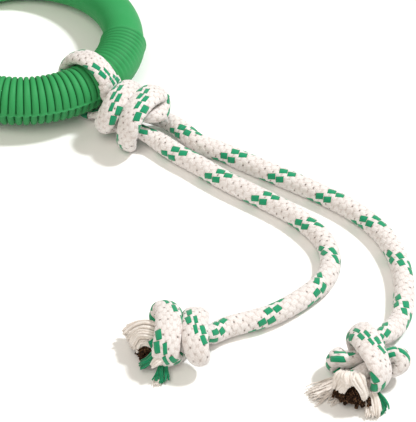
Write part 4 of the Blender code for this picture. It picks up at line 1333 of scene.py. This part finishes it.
@dataclass
class Bundle:
    """A bundle of loose yarns that lie side by side along one line.

    The rows give the line's places with the bundle's half width and half height there. Ragged is how much
    shorter the shortest yarn is, wave how far the yarns bend, and pointed how much thinner their ends are.
    """

    rows: Rows
    count: int
    radius: float = 0.00055
    ragged: float = 0.16
    wave: float = 0.0005
    pointed: float = 0.35
    bends: float = 5.0
    bend_up: float = 0.7
    stray: float = 0.6
    thicknesses: tuple[float, float] = (0.85, 1.2)
    first_across: Place = (0.3, 0.2, 1.0)
    sides: int = 6
    points: int = 14
    step: float = 0.0004

    def tubes(self, chance: np.random.Generator) -> list[np.ndarray]:
        """Points round each yarn: one table of rows by sides by three for each.

        Args:
            chance: Where the unevenness comes from.

        Returns:
            The tables.
        """
        line = smooth_route(self.rows, self.step)
        reach = np.linspace(0.0, 1.0, len(line))
        headings = directions(line[:, :3])
        aside = np.cross(headings, (0.0, 0.0, 1.0))
        aside /= np.maximum(np.linalg.norm(aside, axis=1), SMALL)[:, None]
        upward = np.cross(aside, headings)
        tubes = []
        for _ in range(self.count):
            angle = chance.uniform(0.0, 2 * math.pi)
            out = math.sqrt(chance.uniform(0.0, 1.0))
            last = 1.0 - self.ragged * chance.uniform(0.0, 1.0)
            phase, drift, lift = chance.uniform(0.0, 6.28), *chance.uniform(-1.0, 1.0, 2)
            share = np.linspace(0.0, last, self.points)
            middle, side, high = (np.stack([np.interp(share, reach, column) for column in table.T], axis=1)
                                  for table in (line, aside, upward))
            bend = self.wave * np.sin(share * self.bends + phase) * share
            across = middle[:, 3] * out * math.cos(angle) + bend + self.stray * self.wave * drift * share
            height = (middle[:, 4] * out * math.sin(angle) + self.bend_up * bend
                      + self.stray * self.wave * lift * share)
            places = middle[:, :3] + side * across[:, None] + high * height[:, None]
            places[:, 2] = np.maximum(places[:, 2], self.radius)
            thick = self.radius * chance.uniform(*self.thicknesses) * (1 - self.pointed * share ** 4)
            tubes.append(self.tube(places, thick))
        return tubes

    def tube(self, line: np.ndarray, thick: np.ndarray) -> np.ndarray:
        """Points round one yarn's line.

        Args:
            line: Places along the yarn.
            thick: The yarn's radius at each.

        Returns:
            Rows by sides by three.
        """
        across = np.array(self.first_across)
        angles = np.arange(self.sides) * 2 * math.pi / self.sides
        rings = []
        for place, heading, radius in zip(line, directions(line), thick):
            across = across - heading * (across @ heading)
            across = across / max(float(np.linalg.norm(across)), SMALL)
            aside = np.cross(heading, across)
            rings.append(place + radius * (np.cos(angles)[:, None] * across + np.sin(angles)[:, None] * aside))
        return np.array(rings)


@dataclass
class FrayedEnd:
    """The loose yarns at one end of the rope, kind by kind."""

    letter: str
    sheath: Sequence[Bundle]
    core: Sequence[Bundle]
    tracer: Sequence[Bundle]
    seed: int

    def build(self, finishes: Finishes) -> list[bpy.types.Object]:
        """Make the sheath, core and tracer yarns, one piece of each.

        Args:
            finishes: The toy's materials.

        Returns:
            The three pieces.
        """
        chance = np.random.default_rng(self.seed)
        return [self.gather(f"{kind}_yarns_{self.letter}", bundles, chance, material)
                for kind, bundles, material in (("sheath", self.sheath, finishes.sheath_yarn),
                                                ("core", self.core, finishes.core_yarn),
                                                ("tracer", self.tracer, finishes.tracer_yarn))]

    @staticmethod
    def gather(name: str, bundles: Sequence[Bundle], chance: np.random.Generator,
               material: bpy.types.Material) -> bpy.types.Object:
        """Join the bundles' yarns in one piece, whose own map tells how near its end each place is.

        Args:
            name: The piece's name.
            bundles: The bundles.
            chance: Where their unevenness comes from.
            material: The yarns' material.

        Returns:
            The piece.
        """
        vertices, faces, layer = [], [], []
        for bundle in bundles:
            for rings in bundle.tubes(chance):
                base = len(vertices)
                count, sides = rings.shape[:2]
                vertices.extend(rings.reshape(-1, 3))
                number = chance.uniform(0.0, 1.0)
                for row in range(count - 1):
                    for side in range(sides):
                        here = base + row * sides + side
                        beside = base + row * sides + (side + 1) % sides
                        faces.append((here, beside, beside + sides, here + sides))
                        layer.extend(((row / count, number),) * 2 + (((row + 1) / count, number),) * 2)
                end = base + (count - 1) * sides
                faces += [tuple(range(base + sides - 1, base - 1, -1)), tuple(range(end, end + sides))]
                layer.extend(((0.0, number),) * sides + ((1.0, number),) * sides)
        return mesh_object(name, np.array(vertices), faces, np.array(layer), material)


# Camera, floor and light


@dataclass(frozen=True)
class Lamp:
    """A round soft lamp."""

    name: str
    place: Place
    size: float
    power: float
    colour: Place

    def hang(self, aim: Place) -> None:
        """Hang the lamp where it shines at a place.

        Args:
            aim: The place.
        """
        data = bpy.data.lights.new(self.name, "AREA")
        data.shape = "DISK"
        data.size, data.energy, data.color = self.size, self.power, self.colour
        lamp = bpy.data.objects.new(self.name, data)
        turn = (Vector(aim) - Vector(self.place)).to_track_quat("-Z", "Y").to_matrix().to_4x4()
        lamp.matrix_world = Matrix.Translation(self.place) @ turn
        bpy.context.scene.collection.objects.link(lamp)


@dataclass
class Studio:
    """The camera at the photograph's place, a pale floor and soft light."""

    place: Place = (0.0550, -0.9213, 0.8519)
    pitch: float = 0.77984
    roll: float = 0.10565
    focal_pixels: float = 2000.0
    picture_width: int = 416
    sensor: float = 36.0
    near: float = 0.01
    floor_size: float = 6.0
    floor_height: float = -0.0002
    floor_colour: Colour = (0.93, 0.93, 0.92, 1.0)
    surround: Colour = (1.0, 0.95, 0.88, 1.0)
    surround_strength: float = 0.42
    aim: Place = (0.04, -0.03, 0.0)
    lamps: tuple[Lamp, ...] = (
        Lamp("key", place=(1.15, 0.55, 1.95), size=0.30, power=44.0, colour=(0.97, 0.99, 1.0)),
        Lamp("fill", place=(-0.5, -1.3, 2.1), size=1.6, power=26.0, colour=(1.0, 0.93, 0.84)))

    def camera(self) -> None:
        """Put the camera where the photograph was taken from."""
        forward = Vector((0.0, math.cos(self.pitch), -math.sin(self.pitch)))
        upward = Vector((0.0, math.sin(self.pitch), math.cos(self.pitch)))
        right = Vector((1.0, 0.0, 0.0))
        turned_right = right * math.cos(self.roll) + upward * math.sin(self.roll)
        turned_up = upward * math.cos(self.roll) - right * math.sin(self.roll)
        data = bpy.data.cameras.new("camera")
        data.sensor_fit = "HORIZONTAL"
        data.sensor_width = self.sensor
        data.lens = self.sensor * self.focal_pixels / self.picture_width
        data.clip_start = self.near
        camera = bpy.data.objects.new("camera", data)
        turn = Matrix((turned_right, turned_up, -forward)).transposed().to_4x4()
        camera.matrix_world = Matrix.Translation(self.place) @ turn
        bpy.context.scene.collection.objects.link(camera)
        bpy.context.scene.camera = camera

    def floor(self) -> None:
        """Lay the pale floor."""
        deselect_all()
        bpy.ops.mesh.primitive_plane_add(size=self.floor_size, location=(0.0, 0.0, self.floor_height))
        floor = bpy.context.object
        floor.name = "floor"
        nodes = Nodes("pale_floor")
        nodes.feed(nodes.shader.inputs,
                   {"Base Color": self.floor_colour, "Roughness": 0.9, "Specular IOR Level": 0.0})
        floor.data.materials.append(nodes.material)

    def lights(self) -> None:
        """Set up the soft light: a bright surround, a small lamp behind and a broad one in front."""
        world = bpy.data.worlds.new("surround")
        bpy.context.scene.world = world
        world.use_nodes = True
        background = world.node_tree.nodes["Background"]
        background.inputs["Color"].default_value = self.surround
        background.inputs["Strength"].default_value = self.surround_strength
        for lamp in self.lamps:
            lamp.hang(self.aim)
        bpy.context.scene.view_settings.view_transform = "Standard"


def frayed_ends() -> tuple[FrayedEnd, FrayedEnd]:
    """The two frayed ends as the photograph shows them.

    Returns:
        The end of tail a and the end of tail b.
    """
    flap_over = (
        (0.1408, -0.1930, 0.0165, 0.0046, 0.0016), (0.1390, -0.1966, 0.0170, 0.0056, 0.0017),
        (0.1374, -0.1988, 0.0140, 0.0048, 0.0016), (0.1366, -0.1999, 0.0105, 0.0034, 0.0013),
    )
    flap_middle = (
        (0.1457, -0.1944, 0.0185, 0.0042, 0.0014), (0.1470, -0.1981, 0.0192, 0.0044, 0.0015),
        (0.1488, -0.2002, 0.0170, 0.0038, 0.0015), (0.1512, -0.2018, 0.0120, 0.0026, 0.0014),
        (0.1524, -0.2031, 0.0090, 0.0016, 0.0011),
    )
    flap_top = (
        (0.1436, -0.1936, 0.0182, 0.0050, 0.0013), (0.1430, -0.1972, 0.0192, 0.0054, 0.0014),
        (0.1428, -0.1994, 0.0176, 0.0046, 0.0013), (0.1430, -0.2001, 0.0150, 0.0038, 0.0011),
    )
    core_left = (
        (0.1436, -0.1891, 0.0110, 0.0036, 0.0032), (0.1396, -0.1952, 0.0092, 0.0050, 0.0038),
        (0.1366, -0.1993, 0.0068, 0.0054, 0.0036), (0.1352, -0.2015, 0.0046, 0.0050, 0.0030),
    )
    core_middle = (
        (0.1449, -0.1899, 0.0115, 0.0036, 0.0030), (0.1447, -0.1965, 0.0098, 0.0050, 0.0038),
        (0.1446, -0.2014, 0.0070, 0.0056, 0.0038), (0.1443, -0.2041, 0.0050, 0.0052, 0.0032),
    )
    core_right = (
        (0.1460, -0.1905, 0.0115, 0.0034, 0.0030), (0.1481, -0.1973, 0.0096, 0.0044, 0.0036),
        (0.1507, -0.2020, 0.0070, 0.0048, 0.0036), (0.1517, -0.2055, 0.0044, 0.0042, 0.0030),
    )
    right = (
        (0.1498, -0.1904, 0.0120, 0.0026, 0.0022), (0.1542, -0.1952, 0.0090, 0.0032, 0.0022),
        (0.1576, -0.2004, 0.0054, 0.0036, 0.0018), (0.1594, -0.2056, 0.0024, 0.0034, 0.0012),
        (0.1599, -0.2089, 0.0012, 0.0026, 0.0008),
    )
    right_low = (
        (0.1491, -0.1901, 0.0090, 0.0016, 0.0016), (0.1528, -0.1966, 0.0070, 0.0018, 0.0014),
        (0.1545, -0.2030, 0.0036, 0.0018, 0.0012), (0.1544, -0.2102, 0.0010, 0.0009, 0.0007),
    )
    left = (
        (0.1391, -0.1884, 0.0080, 0.0030, 0.0022), (0.1335, -0.1909, 0.0040, 0.0044, 0.0018),
        (0.1271, -0.1953, 0.0020, 0.0052, 0.0012), (0.1213, -0.1995, 0.0009, 0.0060, 0.0006),
    )
    under = (
        (0.1419, -0.1905, 0.0040, 0.0040, 0.0016), (0.1361, -0.1962, 0.0020, 0.0055, 0.0010),
        (0.1308, -0.2012, 0.0010, 0.0060, 0.0007),
    )
    green = (
        (0.1530, -0.1896, 0.0090, 0.0016, 0.0014), (0.1578, -0.1960, 0.0070, 0.0020, 0.0015),
        (0.1622, -0.1997, 0.0044, 0.0024, 0.0016), (0.1639, -0.2029, 0.0024, 0.0022, 0.0013),
        (0.1615, -0.2062, 0.0013, 0.0016, 0.0008),
    )
    end_a = FrayedEnd(
        "a",
        (Bundle(flap_over, 34, 0.0009, 0.12), Bundle(flap_middle, 26, 0.0009, 0.14),
         Bundle(flap_top, 26, 0.0009, 0.3), Bundle(right, 22, 0.0008), Bundle(right_low, 7, 0.0007),
         Bundle(left, 110, 0.0003, 0.55, 0.0014), Bundle(under, 70, 0.0003, 0.6, 0.0012)),
        (Bundle(core_left, 26, 0.0010, 0.45, 0.0024, 0.1), Bundle(core_middle, 34, 0.0010, 0.45, 0.0024, 0.1),
         Bundle(core_right, 26, 0.0010, 0.45, 0.0024, 0.1)),
        (Bundle(green, 12, 0.0006, 0.3, 0.0008),), 3)
    brush = (
        (0.0352, -0.1765, 0.0125, 0.0046, 0.0048), (0.0300, -0.1761, 0.0150, 0.0072, 0.0050),
        (0.0252, -0.1749, 0.0125, 0.0086, 0.0046), (0.0209, -0.1753, 0.0085, 0.0090, 0.0038),
        (0.0183, -0.1765, 0.0060, 0.0084, 0.0032),
    )
    brush_low = (
        (0.0358, -0.1835, 0.0125, 0.0030, 0.0022), (0.0311, -0.1812, 0.0125, 0.0036, 0.0020),
        (0.0269, -0.1796, 0.0105, 0.0038, 0.0018), (0.0234, -0.1802, 0.0080, 0.0036, 0.0015),
    )
    dark = (
        (0.0349, -0.1830, 0.0080, 0.0030, 0.0030), (0.0312, -0.1838, 0.0066, 0.0044, 0.0034),
        (0.0276, -0.1844, 0.0050, 0.0050, 0.0030), (0.0248, -0.1860, 0.0034, 0.0050, 0.0024),
    )
    green_left = (
        (0.0377, -0.1847, 0.0120, 0.0022, 0.0018), (0.0339, -0.1896, 0.0120, 0.0026, 0.0018),
        (0.0304, -0.1915, 0.0085, 0.0024, 0.0016), (0.0262, -0.1924, 0.0046, 0.0024, 0.0013),
    )
    green_down = (
        (0.0398, -0.1877, 0.0090, 0.0020, 0.0018), (0.0392, -0.1922, 0.0064, 0.0026, 0.0018),
        (0.0390, -0.1964, 0.0036, 0.0036, 0.0014), (0.0390, -0.2011, 0.0014, 0.0046, 0.0009),
    )
    white_bit = (
        (0.0393, -0.1905, 0.0130, 0.0022, 0.0012), (0.0360, -0.1943, 0.0130, 0.0024, 0.0012),
        (0.0327, -0.1957, 0.0090, 0.0022, 0.0011),
    )
    pale_end = (
        (0.0377, -0.1943, 0.0026, 0.0016, 0.0010), (0.0368, -0.1984, 0.0013, 0.0024, 0.0008),
        (0.0364, -0.2031, 0.0008, 0.0030, 0.0006),
    )
    end_b = FrayedEnd(
        "b",
        (Bundle(brush, 100, 0.0008, 0.16, 0.0005, 0.1), Bundle(brush_low, 22, 0.0008, 0.2, 0.0005, 0.1),
         Bundle(white_bit, 12, 0.0006), Bundle(pale_end, 24, 0.0003, 0.4)),
        (Bundle(dark, 40, 0.0010, 0.45, 0.0020, 0.1),),
        (Bundle(green_left, 26, 0.0006), Bundle(green_down, 34, 0.0006, 0.35, 0.0010)), 6)
    return end_a, end_b


def stand_in(piece: bpy.types.Object, node: str, body: str | None = None) -> None:
    """Let a piece stand for its CAD node.

    Args:
        piece: The piece.
        node: The node.
        body: The body that it rides on; without one, the piece is left unattached.
    """
    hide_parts(node)
    if body:
        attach(piece, body)
    LOG.info("%s stands for %s on %s", piece.name, node, body or "two bodies")


def dress_tail(tail: Tail, end: FrayedEnd, finishes: Finishes, exit_place: np.ndarray,
               exit_way: np.ndarray) -> None:
    """Args:
        tail: The tail.
        end: Its frayed end.
        finishes: The toy's materials.
        exit_place: Where the tail leaves the main knot.
        exit_way: Which way it leaves.
    """
    letter, body = tail.letter, f"tail_{tail.letter}"
    piece, knot, line = tail.build(finishes, exit_place, exit_way)
    yarns = end.build(finishes)
    stand_in(piece, f"tail_{letter}")
    stand_in(knot, f"end_knot_{letter}", body)
    for bunch, node, slot in zip(yarns, ("fray_sheath", "fray_core", "fray_tracer"),
                                 ("cream_rope", "brown_core_yarn", "green_tracer_yarn")):
        stand_in(bunch, f"{node}_{letter}", body)
    tuple(exit_place + exit_way * BENDING_LENGTH)
    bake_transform(piece)
    line[::PATH_STRIDE].tolist() + [line[-1].tolist()]
    LOG.info("tail %s: %.1f mm", letter, length_of(line) * 1000)


def main() -> None:
    """Build the toy and dress it."""
    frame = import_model()
    LOG.info("nodes in the frame: %d", len(frame["nodes"]))
    studio = Studio()
    studio.camera()
    finishes = Finishes()
    braid = Braid()
    knot_pieces, exits, ways = MainKnot(braid, MAIN_TRACER).build(finishes)
    tails = (Tail("a", TAIL_A_ROUTE, END_KNOT_A_WAY_IN + END_KNOT_A_ROUTE + END_KNOT_A_WAY_OUT,
                  END_KNOT_A_MIDDLE_HEIGHT, knot_place=(0.1533, -0.1767), knot_heading_deg=-125.0,
                  fray_heading_deg=-119.0, tracer=TAIL_A_TRACER, braid=braid),
             Tail("b", TAIL_B_ROUTE, END_KNOT_B_WAY_IN + END_KNOT_B_ROUTE + END_KNOT_B_WAY_OUT,
                  END_KNOT_B_MIDDLE_HEIGHT, knot_place=(0.0478, -0.1751), knot_heading_deg=-175.0,
                  fray_heading_deg=-155.0, tracer=TAIL_B_TRACER, braid=braid))
    for piece, node in zip(knot_pieces, ("knot_core_strand", "rope_loop", "knot_tying_strand")):
        stand_in(piece, node, "rope")
    for tail, end, exit_place, exit_way in zip(tails, frayed_ends(), exits, ways):
        dress_tail(tail, end, finishes, exit_place, exit_way)
    stand_in(RubberRing().build(finishes), "rubber_ring", "ring")
    studio.floor()
    studio.lights()


if __name__ == "__main__":
    main()
